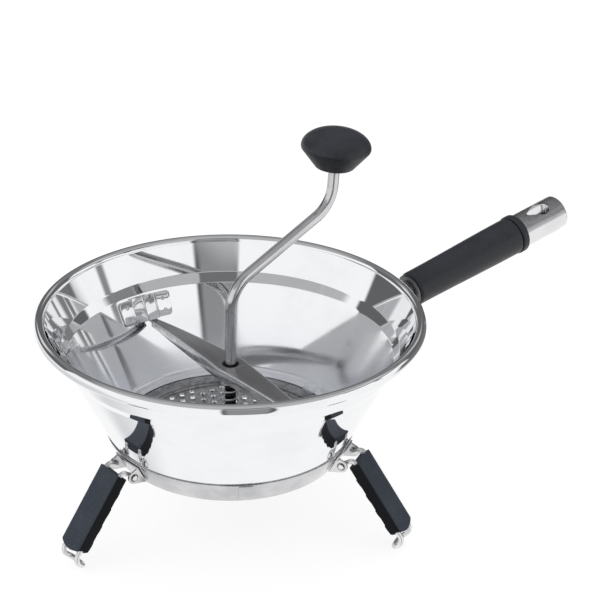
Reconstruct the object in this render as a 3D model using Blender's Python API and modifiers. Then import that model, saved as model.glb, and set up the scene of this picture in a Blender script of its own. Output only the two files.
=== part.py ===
"""Hand-cranked food mill: bowl, sieve disc, sprung crossbar, crank and three folding legs."""

import math

import bmesh
import bpy
from mathutils import Matrix, Vector

# Sheet, fits and joins, all in metres
SHEET = 0.0009
FIT = 0.0003
JOIN = 0.0005
OVERRUN = 0.006
MERGE = 0.00001

# Bowl: every depth is measured down from the top of the rim
RIM_R = 0.130
ROLL_WIDTH = 0.0071
ROLL_HEIGHT = 0.0085
WALL_FLARE = 0.0097
THROAT_DEPTH = 0.0235
SHOULDER_STEP = 0.0031
SHOULDER_HEIGHT = 0.0060
CONE_ANGLE = math.radians(26.2)
LEDGE_DEPTH = 0.0865
LEDGE_CORNER = 0.0014
LEDGE_WIDTH = 0.00605
SEAT_WIDTH = 0.0070
LUG_AZIMUTH = math.radians(6.0)
LUG_WIDTH = 0.0090
LUG_HEIGHT = 0.0030
LUG_TOOTH = 0.0022
LUG_COUNT = 2

# Sieve disc
DISC_SHEET = 0.0008
DISC_SINK = 0.0005
DISC_PLAY = 0.0007
DISC_RIM_WIDTH = 0.0083
DISC_DISH = 0.0025
DISC_DISH_RUN = 0.0018
HOLE_R = 0.0021
HOLE_PITCH = 0.0084
HOLE_MARGIN = 0.0052
HOLE_SIDES = 6
HUB_MARGIN = 0.0038

# Base band and its seam
BAND_LAP = 0.0035
BAND_HEIGHT = 0.0165
BAND_SHEET = 0.0008
BAND_ANGLE = math.radians(28.1)
SEAM_AZIMUTH = math.radians(-119.0)
SEAM_WIDTH = 0.0090
SEAM_SHEET = 0.0006
SEAM_MARGIN = 0.0008

# Clips for the crossbar, on the inside of the cone
CLIP_DROP = 0.0015
CLIP_HEIGHT = 0.0160
CLIP_STAND = 0.0093
CLIP_SHEET = 0.0010
CLIP_WIDTH = 0.0400
CLIP_BASE_WIDTH = 0.0185
CLIP_FACE_WIDTH = 0.0090
CLIP_CORNER_R = 0.0025

# Crossbar and its bush
BAR_CROWN = 0.0045
BAR_SHEET = 0.0011
BAR_WIDTH = 0.0218
BAR_CLIP_PLAY = 0.0001
BAR_FLANGE = 0.0085
BAR_END_FLANGE = 0.0032
BAR_HOOK_REACH = 0.0042
BAR_HOOK_RISE = 0.0038
BAR_STATIONS = 12
PRESS_MARGIN = 0.0010
BUSH_WALL = 0.0011
BUSH_SINK = 0.0004
BUSH_LIP = 0.0020
BUSH_FLANGE = 0.0012

# Crank
ROD_R = 0.0039
ROD_PLAY = 0.0005
ROD_TAIL = 0.0042
ROD_RISE = 0.0167
ARM_SLOPE = math.radians(25.8)
ARM_SPAN = 0.0832
SHAFT_BEND_R = 0.0260
POST_BEND_R = 0.0240
POST_TILT = math.radians(4.0)
KNOB_BASE_RISE = 0.0265
KNOB_PIN_LENGTH = 0.0140

# Knob
KNOB_BASE_R = 0.0128
KNOB_R = 0.0237
KNOB_CONE_HEIGHT = 0.0133
KNOB_EDGE = 0.0013
KNOB_DOME = 0.0128
KNOB_BORE_PLAY = 0.0012

# Blade, its hub and the pressure spring
HUB_WALL = 0.0030
HUB_HEIGHT = 0.0120
HUB_CHAMFER = 0.0010
WASHER_WIDTH = 0.0028
WASHER = 0.0009
BLADE_MARGIN = 0.0037
BLADE_SHEET = 0.0012
BLADE_RISE = 0.0175
BLADE_LIFT = 0.0004
BLADE_AZIMUTH = math.radians(-90.0)
BLADE_HALF_SWEEP = math.radians(84.0)
BLADE_LIP = 0.0040
BLADE_STATIONS = 14
SPRING_PLAY = 0.0008
SPRING_WIRE_R = 0.00075
SPRING_CURLS = 5
SPRING_POINTS = 10

# Handle, along +X and rising
HANDLE_RISE = math.radians(10.1)
GRIP_FROM_RIM = 0.0300
GRIP_START_DEPTH = 0.0280
GRIP_LENGTH = 0.0990
GRIP_INNER_R = 0.01265
GRIP_OUTER_R = 0.0140
GRIP_EDGE = 0.0022
GRIP_SWELL_SHARES = ((0.15, 0.97), (0.35, 0.80), (0.60, 0.50), (0.85, 0.12))
COLLAR_R = 0.01475
COLLAR_LENGTH = 0.0055
COLLAR_EDGE = 0.0010
RING_R = 0.0118
RING_LENGTH = 0.0024
TUBE_R = 0.0130
TUBE_WALL = 0.0012
TUBE_LENGTH = 0.0430
TUBE_DOME = 0.0035
SCARF_LENGTH = 0.0220
SCARF_DEPTH = 0.0080
CORE_R = 0.0042
CORE_SOCKET = 0.0140
CORE_END = 0.0030
NECK_R = 0.0080
NECK_ROOT_R = 0.0095
SADDLE_SHEET = 0.0015
SADDLE_WIDTH = 0.0400
SADDLE_DROP = 0.0015
SADDLE_HEIGHT = 0.0210
EYE_FROM_TIP = 0.0235
EYE_LENGTH = 0.0200
EYE_R = 0.0062
EYE_SMALL_R = 0.0016

# Legs: hinge, bent wire and sleeve
LEG_AZIMUTHS = (math.radians(180.0), math.radians(60.0), math.radians(-60.0))
HINGE_DROP = 0.0088
HINGE_OUT = 0.0056
EAR_PLAY = 0.0003
EAR_SHEET = 0.0012
EAR_WALL = 0.00235
EAR_BASE = 0.0120
LEG_PLATE_EDGE = 0.0005
LEG_PLATE_SHEET = 0.0010
LEG_PLATE_DROP = 0.0018
LEG_PLATE_RISE = 0.0015
WIRE_R = 0.00175
WIRE_PLAY = 0.0003
WIRE_END = 0.0008
LIMB_SPACING = 0.0160
EYE_BEND_R = 0.0025
KNEE_REACH = 0.0083
KNEE_RISE = math.radians(31.0)
KNEE_BEND_R = 0.0026
LEG_TILT = math.radians(55.0)
FOOT_TILT = math.radians(140.0)
FOOT_EXIT = 0.0005
FOOT_BEND_R = 0.0057
CROWN_BEND_R = 0.0055
FOOT_FLAT = 0.0004
SLEEVE_LENGTH = 0.0580
SLEEVE_SIDE_WALL = 0.00095
SLEEVE_WALL = 0.00185
SLEEVE_EDGE_R = 0.0022
SLEEVE_BOW = 0.0040
RIB_COUNT = 4
RIB_START = 0.0100
RIB_END = 0.0045
RIB_HEIGHT = 0.0016
RIB_SLOPE = 0.0060

# Facets
TURN_STEPS = 52
SMALL_STEPS = 24
KNOB_STEPS = 28
ROD_SIDES = 4
PATH_STEP = math.radians(16.0)
WIRE_STEP = math.radians(30.0)
SMOOTH_ANGLE = math.radians(35.0)
EAR_SWEEP = math.radians(80.0)

# Colours, roughness and metallic value of each finish
FINISHES = {
    "polished_steel": ((0.80, 0.80, 0.81), 0.10, 1.0),
    "satin_steel": ((0.55, 0.56, 0.58), 0.30, 1.0),
    "dark_steel": ((0.32, 0.32, 0.33), 0.34, 1.0),
    "bush_black": ((0.03, 0.03, 0.035), 0.50, 0.0),
    "charcoal_plastic": ((0.045, 0.047, 0.055), 0.42, 0.0),
    "slate_silicone": ((0.070, 0.080, 0.100), 0.62, 0.0),
}


# Sizes that follow from the ones above
THROAT_R = RIM_R - ROLL_WIDTH - WALL_FLARE
CONE_R = THROAT_R - SHOULDER_STEP
CONE_DEPTH = THROAT_DEPTH + SHOULDER_HEIGHT
BAND_TOP_DEPTH = LEDGE_DEPTH - BAND_LAP
BAND_BOTTOM_DEPTH = BAND_TOP_DEPTH + BAND_HEIGHT


def cone_outer(depth):
    """Outer radius of the bowl's cone at a depth below the rim."""
    return CONE_R - (depth - CONE_DEPTH) * math.tan(CONE_ANGLE)


def cone_inner(depth):
    """Inner radius of the bowl's cone at a depth below the rim."""
    return cone_outer(depth) - SHEET / math.cos(CONE_ANGLE)


def band_outer(depth):
    """Outer radius of the base band at a depth below the rim."""
    top = cone_outer(BAND_TOP_DEPTH) + (FIT + BAND_SHEET) / math.cos(BAND_ANGLE)
    return top - (depth - BAND_TOP_DEPTH) * math.tan(BAND_ANGLE)


def slant(angle, run, rise):
    """Vector in a leg's plane, out and up, from a length along a tilt below the horizontal."""
    return Vector((run * math.cos(angle), 0.0, rise * math.sin(angle)))


LEG_DIRECTION = Vector((math.cos(LEG_TILT), 0.0, -math.sin(LEG_TILT)))
FOOT_DIRECTION = Vector((math.cos(FOOT_TILT), 0.0, -math.sin(FOOT_TILT)))
KNEE = slant(KNEE_RISE, KNEE_REACH, KNEE_REACH)
KNEE_RUN = KNEE_BEND_R * math.tan((KNEE_RISE + LEG_TILT) / 2)
FOOT_RUN = FOOT_BEND_R * math.tan((FOOT_TILT - LEG_TILT) / 2)
SLEEVE_TOP = KNEE + LEG_DIRECTION * (KNEE_RUN + FIT)
SLEEVE_END = SLEEVE_TOP + LEG_DIRECTION * SLEEVE_LENGTH
FOOT_CORNER = SLEEVE_END + LEG_DIRECTION * (FOOT_EXIT + FOOT_RUN)
FOOT_TIP = FOOT_CORNER + FOOT_DIRECTION * (FOOT_RUN + CROWN_BEND_R)
HINGE_DEPTH = BAND_TOP_DEPTH + HINGE_DROP
HINGE_R = band_outer(HINGE_DEPTH) + HINGE_OUT
RIM_HEIGHT = HINGE_DEPTH - FOOT_TIP.z + WIRE_R - FOOT_FLAT
EAR_SPACING = LIMB_SPACING + 2 * (EYE_BEND_R + EAR_SHEET + EAR_PLAY)
EAR_R = WIRE_R + WIRE_PLAY + EAR_WALL
LEG_PLATE_WIDTH = EAR_SPACING + 2 * LEG_PLATE_EDGE
LEG_PLATE_TOP_DEPTH = BAND_TOP_DEPTH + LEG_PLATE_DROP
LEG_PLATE_BOTTOM_DEPTH = BAND_BOTTOM_DEPTH - LEG_PLATE_RISE
SLEEVE_WIDTH = LIMB_SPACING + 2 * (WIRE_R + FIT + SLEEVE_SIDE_WALL)
SLEEVE_THICKNESS = 2 * (WIRE_R + FIT + SLEEVE_WALL)
RIB_PITCH = (SLEEVE_LENGTH - RIB_START - RIB_SLOPE - RIB_END) / (RIB_COUNT - 1)

SEAT_R = cone_inner(LEDGE_DEPTH) - LEDGE_WIDTH
SEAT_OPENING_R = SEAT_R - SEAT_WIDTH
SEAT_DEPTH = LEDGE_DEPTH + DISC_SINK + DISC_SHEET + FIT
DISC_R = SEAT_R - DISC_PLAY
DISC_TOP_DEPTH = LEDGE_DEPTH + DISC_SINK
DISH_R = DISC_R - DISC_RIM_WIDTH
SIEVE_R = DISH_R - DISC_DISH_RUN
SIEVE_DEPTH = DISC_TOP_DEPTH + DISC_DISH
HOLE_FIELD_R = SIEVE_R - HOLE_MARGIN
NOTCH_R = SEAT_R - LUG_TOOTH - FIT
LUG_HALF_ANGLE = LUG_WIDTH / 2 / SEAT_R
NOTCH_HALF_ANGLE = LUG_HALF_ANGLE + FIT / NOTCH_R
NOTCH_FLARE = FIT / NOTCH_R

CLIP_TOP_DEPTH = CONE_DEPTH + CLIP_DROP
CLIP_BOTTOM_DEPTH = CLIP_TOP_DEPTH + CLIP_HEIGHT
CLIP_FACE_R = cone_inner(CLIP_BOTTOM_DEPTH) - (FIT + CLIP_STAND) * math.cos(CONE_ANGLE)
CLIP_FACE_DEPTH = CLIP_BOTTOM_DEPTH - (FIT + CLIP_STAND) * math.sin(CONE_ANGLE)
BAR_END_DEPTH = CLIP_FACE_DEPTH + CLIP_SHEET * math.sin(CONE_ANGLE) + FIT
BAR_DEPTH = BAR_END_DEPTH - BAR_CROWN
BAR_END_WIDTH = CLIP_FACE_WIDTH - 2 * (CLIP_SHEET + BAR_CLIP_PLAY)
PRESS_TRAVEL = BAR_HOOK_RISE + FIT + PRESS_MARGIN

ROD_FOOT_DEPTH = SIEVE_DEPTH + DISC_SHEET + ROD_TAIL
HUB_R = ROD_R + FIT + HUB_WALL
HUB_FIELD_R = HUB_R + HUB_MARGIN
WASHER_R = ROD_R + FIT + WASHER_WIDTH
BLADE_R = SIEVE_R - BLADE_MARGIN
SPRING_R = ROD_R + SPRING_PLAY + 2 * SPRING_WIRE_R
HUB_BOTTOM_DEPTH = SIEVE_DEPTH - FIT
HUB_TOP_DEPTH = HUB_BOTTOM_DEPTH - HUB_HEIGHT
WASHER_TOP_DEPTH = HUB_TOP_DEPTH - FIT - WASHER
BUSH_TOP_DEPTH = BAR_DEPTH + BUSH_SINK
BUSH_BORE_R = ROD_R + ROD_PLAY
BAR_HOLE_R = BUSH_BORE_R + BUSH_WALL + FIT
BUSH_FLANGE_R = BAR_HOLE_R + BUSH_LIP

GRIP_START_R = RIM_R + GRIP_FROM_RIM
SADDLE_TOP_DEPTH = CONE_DEPTH + SADDLE_DROP
SADDLE_BOTTOM_DEPTH = SADDLE_TOP_DEPTH + SADDLE_HEIGHT
TUBE_START = GRIP_LENGTH + COLLAR_LENGTH + FIT + FIT


# Helpers
PARTS = bpy.data.collections.new("food_mill")
CUTTERS = bpy.data.collections.new("cutters")
MATERIALS = {}


def clear_scene():
    """Remove what the open scene holds and link the two collections."""
    for obj in list(bpy.data.objects):
        bpy.data.objects.remove(obj, do_unlink=True)
    bpy.context.scene.collection.children.link(PARTS)
    bpy.context.scene.collection.children.link(CUTTERS)


def make_materials():
    """One Principled material for each finish."""
    for name, (colour, roughness, metallic) in FINISHES.items():
        material = bpy.data.materials.new(name)
        material.use_nodes = True
        shader = material.node_tree.nodes["Principled BSDF"]
        shader.inputs["Base Color"].default_value = (*colour, 1.0)
        shader.inputs["Roughness"].default_value = roughness
        shader.inputs["Metallic"].default_value = metallic
        material.diffuse_color = (*colour, 1.0)
        MATERIALS[name] = material


def add_empty(name, parent=None, location=(0.0, 0.0, 0.0), rotation=(0.0, 0.0, 0.0)):
    """An empty that carries a frame or a joint's axis."""
    empty = bpy.data.objects.new(name, None)
    empty.empty_display_size = RIM_R / 4
    PARTS.objects.link(empty)
    empty.parent = parent
    empty.location = location
    empty.rotation_euler = rotation
    return empty


def add_part(name, data, finish, parent, location=(0.0, 0.0, 0.0), rotation=(0.0, 0.0, 0.0)):
    """A named sub-part with its material, placed under its parent."""
    part = bpy.data.objects.new(name, data)
    PARTS.objects.link(part)
    part.parent = parent
    part.location = location
    part.rotation_euler = rotation
    data.materials.clear()
    data.materials.append(MATERIALS[finish])
    return part


def add_cutter(name, data, parent=None, location=(0.0, 0.0, 0.0), rotation=(0.0, 0.0, 0.0)):
    """A guide solid that only cuts or joins other pieces."""
    cutter = bpy.data.objects.new(name, data)
    CUTTERS.objects.link(cutter)
    cutter.parent = parent
    cutter.location = location
    cutter.rotation_euler = rotation
    cutter.hide_render = True
    cutter.display_type = "WIRE"
    return cutter


def combine(target, other, operation):
    """Boolean of a piece with another one."""
    boolean = target.modifiers.new(operation.lower() + "_" + other.name, "BOOLEAN")
    boolean.operation = operation
    boolean.object = other
    boolean.solver = "EXACT"
    return boolean


def evaluated_mesh(source):
    """The mesh that an object shows with its modifiers, with its caps welded."""
    bpy.context.view_layer.update()
    graph = bpy.context.evaluated_depsgraph_get()
    mesh = bpy.data.meshes.new_from_object(source.evaluated_get(graph))
    bm = bmesh.new()
    bm.from_mesh(mesh)
    bmesh.ops.remove_doubles(bm, verts=bm.verts, dist=MERGE)
    bm.to_mesh(mesh)
    bm.free()
    return mesh


def baked(source):
    """Mesh of a piece with its modifiers; the piece itself is removed."""
    mesh = evaluated_mesh(source)
    bpy.data.objects.remove(source, do_unlink=True)
    return mesh


def smooth(mesh):
    """Smooth shading with the sharp edges kept."""
    mesh.shade_smooth()
    mesh.set_sharp_from_angle(angle=SMOOTH_ANGLE)
    return mesh


def turned_mesh(name, profile, closed):
    """Profile in the XZ plane, at +X, that runs down its outer side."""
    mesh = bpy.data.meshes.new(name)
    count = len(profile)
    edges = [(index, index + 1) for index in range(count - 1)]
    if closed:
        edges.append((count - 1, 0))
    mesh.from_pydata([(radius, 0.0, height) for radius, height in profile], edges, [])
    return mesh


def turn(shape, steps):
    """Screw modifier that turns a profile about its own Z."""
    screw = shape.modifiers.new("turn", "SCREW")
    screw.axis = "Z"
    screw.angle = math.tau
    screw.steps = steps
    screw.render_steps = steps
    screw.use_merge_vertices = True
    screw.merge_threshold = MERGE
    screw.use_smooth_shade = True


def turned_part(name, profile, finish, parent, steps=TURN_STEPS, closed=True, **place):
    """A turned sub-part."""
    part = add_part(name, turned_mesh(name, profile, closed), finish, parent, **place)
    turn(part, steps)
    return part


def turned_cutter(name, profile, parent, steps=TURN_STEPS, closed=True, **place):
    """A turned guide solid."""
    cutter = add_cutter(name, turned_mesh(name, profile, closed), parent, **place)
    turn(cutter, steps)
    return cutter


def rod_profile(radius, bottom, top):
    """Plain round bar, as a profile that starts and ends on the axis."""
    return [(0.0, top), (radius, top), (radius, bottom), (0.0, bottom)]


def ring_profile(outer, inner, bottom, top):
    """Plain ring, as a closed profile."""
    return [(outer, top), (outer, bottom), (inner, bottom), (inner, top)]


def ellipse_arc(centre, radii, start, end, count):
    """Points of an elliptic arc from one angle to another, both included."""
    points = []
    for index in range(count + 1):
        angle = start + (end - start) * index / count
        points.append((centre[0] + radii[0] * math.cos(angle), centre[1] + radii[1] * math.sin(angle)))
    return points


def rounded_path(corners, step):
    """Straight runs with rounded corners, from (point, radius) pairs."""
    points = [corners[0][0]]
    for (before, _), (corner, radius), (after, _) in zip(corners, corners[1:], corners[2:]):
        back = (before - corner).normalized()
        ahead = (after - corner).normalized()
        half = back.angle(ahead) / 2
        centre = corner + (back + ahead).normalized() * (radius / math.sin(half))
        first = (corner + back * (radius / math.tan(half)) - centre).normalized()
        last = (corner + ahead * (radius / math.tan(half)) - centre).normalized()
        count = max(2, math.ceil((math.pi - 2 * half) / step))
        for index in range(count + 1):
            points.append(centre + first.slerp(last, index / count) * radius)
    points.append(corners[-1][0])
    return points


def tube_curve(name, points, radius, resolution):
    """Round tube along a list of points."""
    curve = bpy.data.curves.new(name, "CURVE")
    curve.dimensions = "3D"
    curve.bevel_depth = radius
    curve.bevel_resolution = resolution
    curve.use_fill_caps = True
    spline = curve.splines.new("POLY")
    spline.points.add(len(points) - 1)
    for place, point in zip(spline.points, points):
        place.co = (*point, 1.0)
    return curve


def tube_mesh(name, points, radius, resolution):
    """Round tube along a list of points, as a closed mesh."""
    guide = bpy.data.objects.new(name, tube_curve(name, points, radius, resolution))
    CUTTERS.objects.link(guide)
    return baked(guide)


def plate_mesh(name, outlines, thickness):
    """Flat plate from outlines in its own XY plane, the later ones being its holes."""
    curve = bpy.data.curves.new(name, "CURVE")
    curve.dimensions = "2D"
    curve.fill_mode = "BOTH"
    curve.extrude = thickness / 2
    for outline in outlines:
        spline = curve.splines.new("POLY")
        spline.points.add(len(outline) - 1)
        spline.use_cyclic_u = True
        for place, (x, y) in zip(spline.points, outline):
            place.co = (x, y, 0.0, 1.0)
    guide = bpy.data.objects.new(name, curve)
    CUTTERS.objects.link(guide)
    return baked(guide)


def placed(mesh, matrix):
    """A mesh after a move or a turn."""
    mesh.transform(matrix)
    return mesh


def arc_block(name, profile, half_angle, steps, azimuth=0.0):
    """Solid of a radius and height profile swept about Z, centred on an azimuth."""
    bm = bmesh.new()
    start = Matrix.Rotation(azimuth - half_angle, 3, "Z")
    verts = [bm.verts.new(start @ Vector((radius, 0.0, height))) for radius, height in profile]
    face = bm.faces.new(verts)
    bmesh.ops.spin(
        bm, geom=[face], cent=(0.0, 0.0, 0.0), axis=(0.0, 0.0, 1.0), dvec=(0.0, 0.0, 0.0),
        angle=2 * half_angle, steps=steps, use_merge=False, use_duplicate=False,
    )
    bmesh.ops.recalc_face_normals(bm, faces=bm.faces)
    mesh = bpy.data.meshes.new(name)
    bm.to_mesh(mesh)
    bm.free()
    return mesh


def arc_outline(centre, radius, start, end, count):
    """Round stretch of an outline, with one radius."""
    return ellipse_arc(centre, (radius, radius), start, end, count)


# Bowl
def bowl_profile():
    """Section of the bowl: rolled rim, steep wall, shoulder, cone, ledge and disc seat."""
    roll = (ROLL_WIDTH / 2, ROLL_HEIGHT / 2)
    roll_centre = (RIM_R - roll[0], -roll[1])
    lip_r = RIM_R - ROLL_WIDTH
    tuck = math.acos((lip_r + SHEET - roll_centre[0]) / roll[0])
    cone_slip = SHEET * math.tan(CONE_ANGLE)
    underside = LEDGE_DEPTH + SHEET
    profile = ellipse_arc(roll_centre, roll, math.radians(90.0), -tuck, 8)
    profile += [
        (THROAT_R + SHEET / math.cos(CONE_ANGLE), -THROAT_DEPTH - cone_slip),
        (CONE_R, -CONE_DEPTH),
        (cone_outer(underside - LEDGE_CORNER), LEDGE_CORNER - underside),
        (cone_outer(underside) - LEDGE_CORNER, -underside),
        (SEAT_R + SHEET, -underside),
        (SEAT_R + SHEET - DISC_SINK, -SEAT_DEPTH - SHEET),
        (SEAT_OPENING_R, -SEAT_DEPTH - SHEET),
        (SEAT_OPENING_R, -SEAT_DEPTH),
        (SEAT_R, -SEAT_DEPTH),
        (SEAT_R, -LEDGE_DEPTH),
        (cone_inner(LEDGE_DEPTH), -LEDGE_DEPTH),
        (cone_inner(CONE_DEPTH), -CONE_DEPTH),
        (THROAT_R, -THROAT_DEPTH),
    ]
    inner_roll = ellipse_arc(roll_centre, roll, math.radians(180.0), math.radians(90.0), 3)
    return profile + inner_roll[:-1]


def lug_mesh():
    """Raised lug on the ledge with a tooth that enters the disc's notch."""
    outer = cone_inner(LEDGE_DEPTH) + SHEET / 2
    tooth_r = SEAT_R - LUG_TOOTH
    profile = [
        (outer, -LEDGE_DEPTH - SHEET / 2),
        (SEAT_R + JOIN, -SEAT_DEPTH - SHEET / 2),
        (tooth_r, -SEAT_DEPTH - SHEET / 2),
        (tooth_r, LUG_HEIGHT / 2 - LEDGE_DEPTH),
        (SEAT_R, LUG_HEIGHT - LEDGE_DEPTH),
        (outer, LUG_HEIGHT - LEDGE_DEPTH),
    ]
    return arc_block("ledge_lug", profile, LUG_HALF_ANGLE, 2)


def build_bowl(frame):
    """Bowl with its two lugs."""
    bowl = turned_part("bowl", bowl_profile(), "polished_steel", frame)
    for index in range(LUG_COUNT):
        turn_to = (0.0, 0.0, LUG_AZIMUTH + math.tau * index / LUG_COUNT)
        lug = add_cutter(f"ledge_lug_{index + 1}", lug_mesh(), frame, rotation=turn_to)
        combine(bowl, lug, "UNION")
    return bowl


def build_base_band(frame):
    """Conical foot band with the lapped seam at its front."""
    bottom = BAND_BOTTOM_DEPTH
    wall = BAND_SHEET / math.cos(BAND_ANGLE)
    profile = [
        (band_outer(BAND_TOP_DEPTH), -BAND_TOP_DEPTH),
        (band_outer(bottom), -bottom),
        (band_outer(bottom) - wall, -bottom),
        (band_outer(BAND_TOP_DEPTH) - wall, -BAND_TOP_DEPTH),
    ]
    band = turned_part("base_band", profile, "satin_steel", frame)
    top = BAND_TOP_DEPTH + SEAM_MARGIN
    low = bottom - SEAM_MARGIN
    seam_profile = [
        (band_outer(top) + SEAM_SHEET, -top),
        (band_outer(low) + SEAM_SHEET, -low),
        (band_outer(low) - wall / 2, -low),
        (band_outer(top) - wall / 2, -top),
    ]
    seam = arc_block("band_seam", seam_profile, SEAM_WIDTH / 2 / band_outer(top), 2, SEAM_AZIMUTH)
    combine(band, add_cutter("band_seam", seam, frame), "UNION")
    return band


# Crossbar clips
def clip_columns():
    """Tangential place, stand from the wall and end drop of each fold line of a clip."""
    half = CLIP_WIDTH / 2
    rest = FIT + CLIP_SHEET / 2
    face = FIT + CLIP_STAND - CLIP_SHEET / 2
    columns = []
    for index in range(4):
        angle = math.radians(90.0) * index / 3
        inset = CLIP_CORNER_R * (1 - math.cos(angle))
        drop = CLIP_CORNER_R * (1 - math.sin(angle))
        columns.append((half - inset, rest, drop))
    columns.append((CLIP_BASE_WIDTH / 2, rest, 0.0))
    columns.append((CLIP_FACE_WIDTH / 2, face, 0.0))
    mirrored = [(-place, stand, drop) for place, stand, drop in reversed(columns)]
    return columns + mirrored


def clip_mesh():
    """Hat-shaped clip that follows the cone at azimuth zero."""
    bm = bmesh.new()
    rows = []
    for place, stand, drop in clip_columns():
        row = []
        for depth in (CLIP_TOP_DEPTH + drop, CLIP_BOTTOM_DEPTH - drop):
            radius = cone_inner(depth) - stand * math.cos(CONE_ANGLE)
            height = stand * math.sin(CONE_ANGLE) - depth
            if stand > CLIP_SHEET + FIT:
                corner = Vector((radius, place, height))
            else:
                angle = place / cone_inner(CLIP_BOTTOM_DEPTH)
                corner = Matrix.Rotation(angle, 3, "Z") @ Vector((radius, 0.0, height))
            row.append(bm.verts.new(corner))
        rows.append(row)
    for near, far in zip(rows, rows[1:]):
        bm.faces.new((near[0], far[0], far[1], near[1]))
    mesh = bpy.data.meshes.new("crossbar_clip")
    bm.to_mesh(mesh)
    bm.free()
    return mesh


def build_clips(frame):
    """The two clips, across the handle."""
    for index in range(2):
        azimuth = math.radians(90.0) + math.pi * index
        name = f"crossbar_clip_{index + 1}"
        clip = add_part(name, clip_mesh(), "polished_steel", frame, rotation=(0.0, 0.0, azimuth))
        fold = clip.modifiers.new("sheet", "SOLIDIFY")
        fold.thickness = CLIP_SHEET
        fold.offset = 0.0
        fold.use_even_offset = True


# Sieve disc
def sieve_holes():
    """Outlines of the holes, on a triangular grid round the shaft."""
    outlines = []
    reach = math.ceil(HOLE_FIELD_R / HOLE_PITCH) + 2
    for row in range(-reach, reach + 1):
        for column in range(-reach, reach + 1):
            x = HOLE_PITCH * (column + row / 2)
            y = HOLE_PITCH * row * math.sin(math.radians(60.0))
            if HUB_FIELD_R < math.hypot(x, y) < HOLE_FIELD_R:
                outlines.append(polygon((x, y), HOLE_R, HOLE_SIDES))
    return outlines


def polygon(centre, radius, sides):
    """Regular polygon."""
    return arc_outline(centre, radius, 0.0, math.tau, sides)[:-1]


def notch_distance(azimuth):
    """Angle from an azimuth to the middle of the nearest lug."""
    spacing = math.tau / LUG_COUNT
    return abs((azimuth - LUG_AZIMUTH + spacing / 2) % spacing - spacing / 2)


def rim_azimuths():
    """Azimuths of the disc's outline, with a close pair at each side of a notch."""
    azimuths = [math.tau * step / TURN_STEPS for step in range(TURN_STEPS)]
    clear = 2 * NOTCH_FLARE
    azimuths = [
        azimuth for azimuth in azimuths
        if abs(notch_distance(azimuth) - NOTCH_HALF_ANGLE - NOTCH_FLARE / 2) > clear
    ]
    for index in range(LUG_COUNT):
        middle = LUG_AZIMUTH + math.tau * index / LUG_COUNT
        for side in (-1, 1):
            azimuths.append(middle + side * NOTCH_HALF_ANGLE)
            azimuths.append(middle + side * (NOTCH_HALF_ANGLE + NOTCH_FLARE))
    return sorted(azimuth % math.tau for azimuth in azimuths)


def rim_reach(azimuth):
    """Radius of the disc's edge, drawn in at the notches."""
    if notch_distance(azimuth) < NOTCH_HALF_ANGLE + NOTCH_FLARE / 2:
        return NOTCH_R
    return DISC_R


def draw_loop(bm, edges, reach, height):
    """Extrude a loop of edges and carry it to a height and the radius that reach gives."""
    result = bmesh.ops.extrude_edge_only(bm, edges=edges)["geom"]
    fresh = {item for item in result if isinstance(item, bmesh.types.BMVert)}
    for vert in fresh:
        azimuth = math.atan2(vert.co.y, vert.co.x)
        radius = reach(azimuth)
        vert.co = (radius * math.cos(azimuth), radius * math.sin(azimuth), height)
    return [
        item for item in result
        if isinstance(item, bmesh.types.BMEdge) and item.verts[0] in fresh and item.verts[1] in fresh
    ]


def sieve_mesh():
    """Perforated sheet whose rim is drawn up to a flat seat."""
    shaft_hole = polygon((0.0, 0.0), ROD_R + FIT, SMALL_STEPS)
    edge = [(SIEVE_R * math.cos(azimuth), SIEVE_R * math.sin(azimuth)) for azimuth in rim_azimuths()]
    outlines = [edge, shaft_hole] + sieve_holes()
    bm = bmesh.new()
    flat = plate_mesh("sieve_sheet", outlines, DISC_SHEET)
    bm.from_mesh(flat)
    bpy.data.meshes.remove(flat)
    bmesh.ops.translate(bm, verts=bm.verts, vec=(0.0, 0.0, -SIEVE_DEPTH - DISC_SHEET / 2))
    bm.normal_update()
    outside = [
        face for face in bm.faces
        if abs(face.normal.z) < 0.5
        and all(math.hypot(vert.co.x, vert.co.y) > SIEVE_R - MERGE for vert in face.verts)
    ]
    bmesh.ops.delete(bm, geom=outside, context="FACES")
    open_edges = [edge for edge in bm.edges if edge.is_boundary]
    middle = -SIEVE_DEPTH - DISC_SHEET / 2
    top_loop = [edge for edge in open_edges if edge.verts[0].co.z > middle]
    low_loop = [edge for edge in open_edges if edge.verts[0].co.z < middle]
    top_loop = draw_loop(bm, top_loop, lambda azimuth: DISH_R, -DISC_TOP_DEPTH)
    top_loop = draw_loop(bm, top_loop, rim_reach, -DISC_TOP_DEPTH)
    underside = -DISC_TOP_DEPTH - DISC_SHEET
    low_loop = draw_loop(bm, low_loop, lambda azimuth: DISH_R + DISC_SHEET / 2, underside)
    low_loop = draw_loop(bm, low_loop, rim_reach, underside)
    bmesh.ops.bridge_loops(bm, edges=top_loop + low_loop)
    bmesh.ops.recalc_face_normals(bm, faces=bm.faces)
    mesh = bpy.data.meshes.new("sieve_disc")
    bm.to_mesh(mesh)
    bm.free()
    return mesh


def build_sieve(frame):
    """Sieve disc, notched for the lugs."""
    add_part("sieve_disc", sieve_mesh(), "satin_steel", frame)


# Crossbar
def bar_half_width(place):
    """Half width of the crossbar's top at a distance from the axis."""
    share = min(abs(place) / CLIP_FACE_R, 1.0)
    return (BAR_WIDTH + (BAR_END_WIDTH - BAR_WIDTH) * share) / 2


def bar_top(place):
    """Height of the crossbar's top at a distance from the axis."""
    share = min(abs(place) / CLIP_FACE_R, 1.0)
    return -BAR_DEPTH - (BAR_END_DEPTH - BAR_DEPTH) * share * share


def bar_flange(place):
    """Depth of the crossbar's side flanges, full near the shaft and low at the ends."""
    share = abs(place) / CLIP_FACE_R
    return BAR_END_FLANGE + (BAR_FLANGE - BAR_END_FLANGE) * (1 - share * share)


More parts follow.
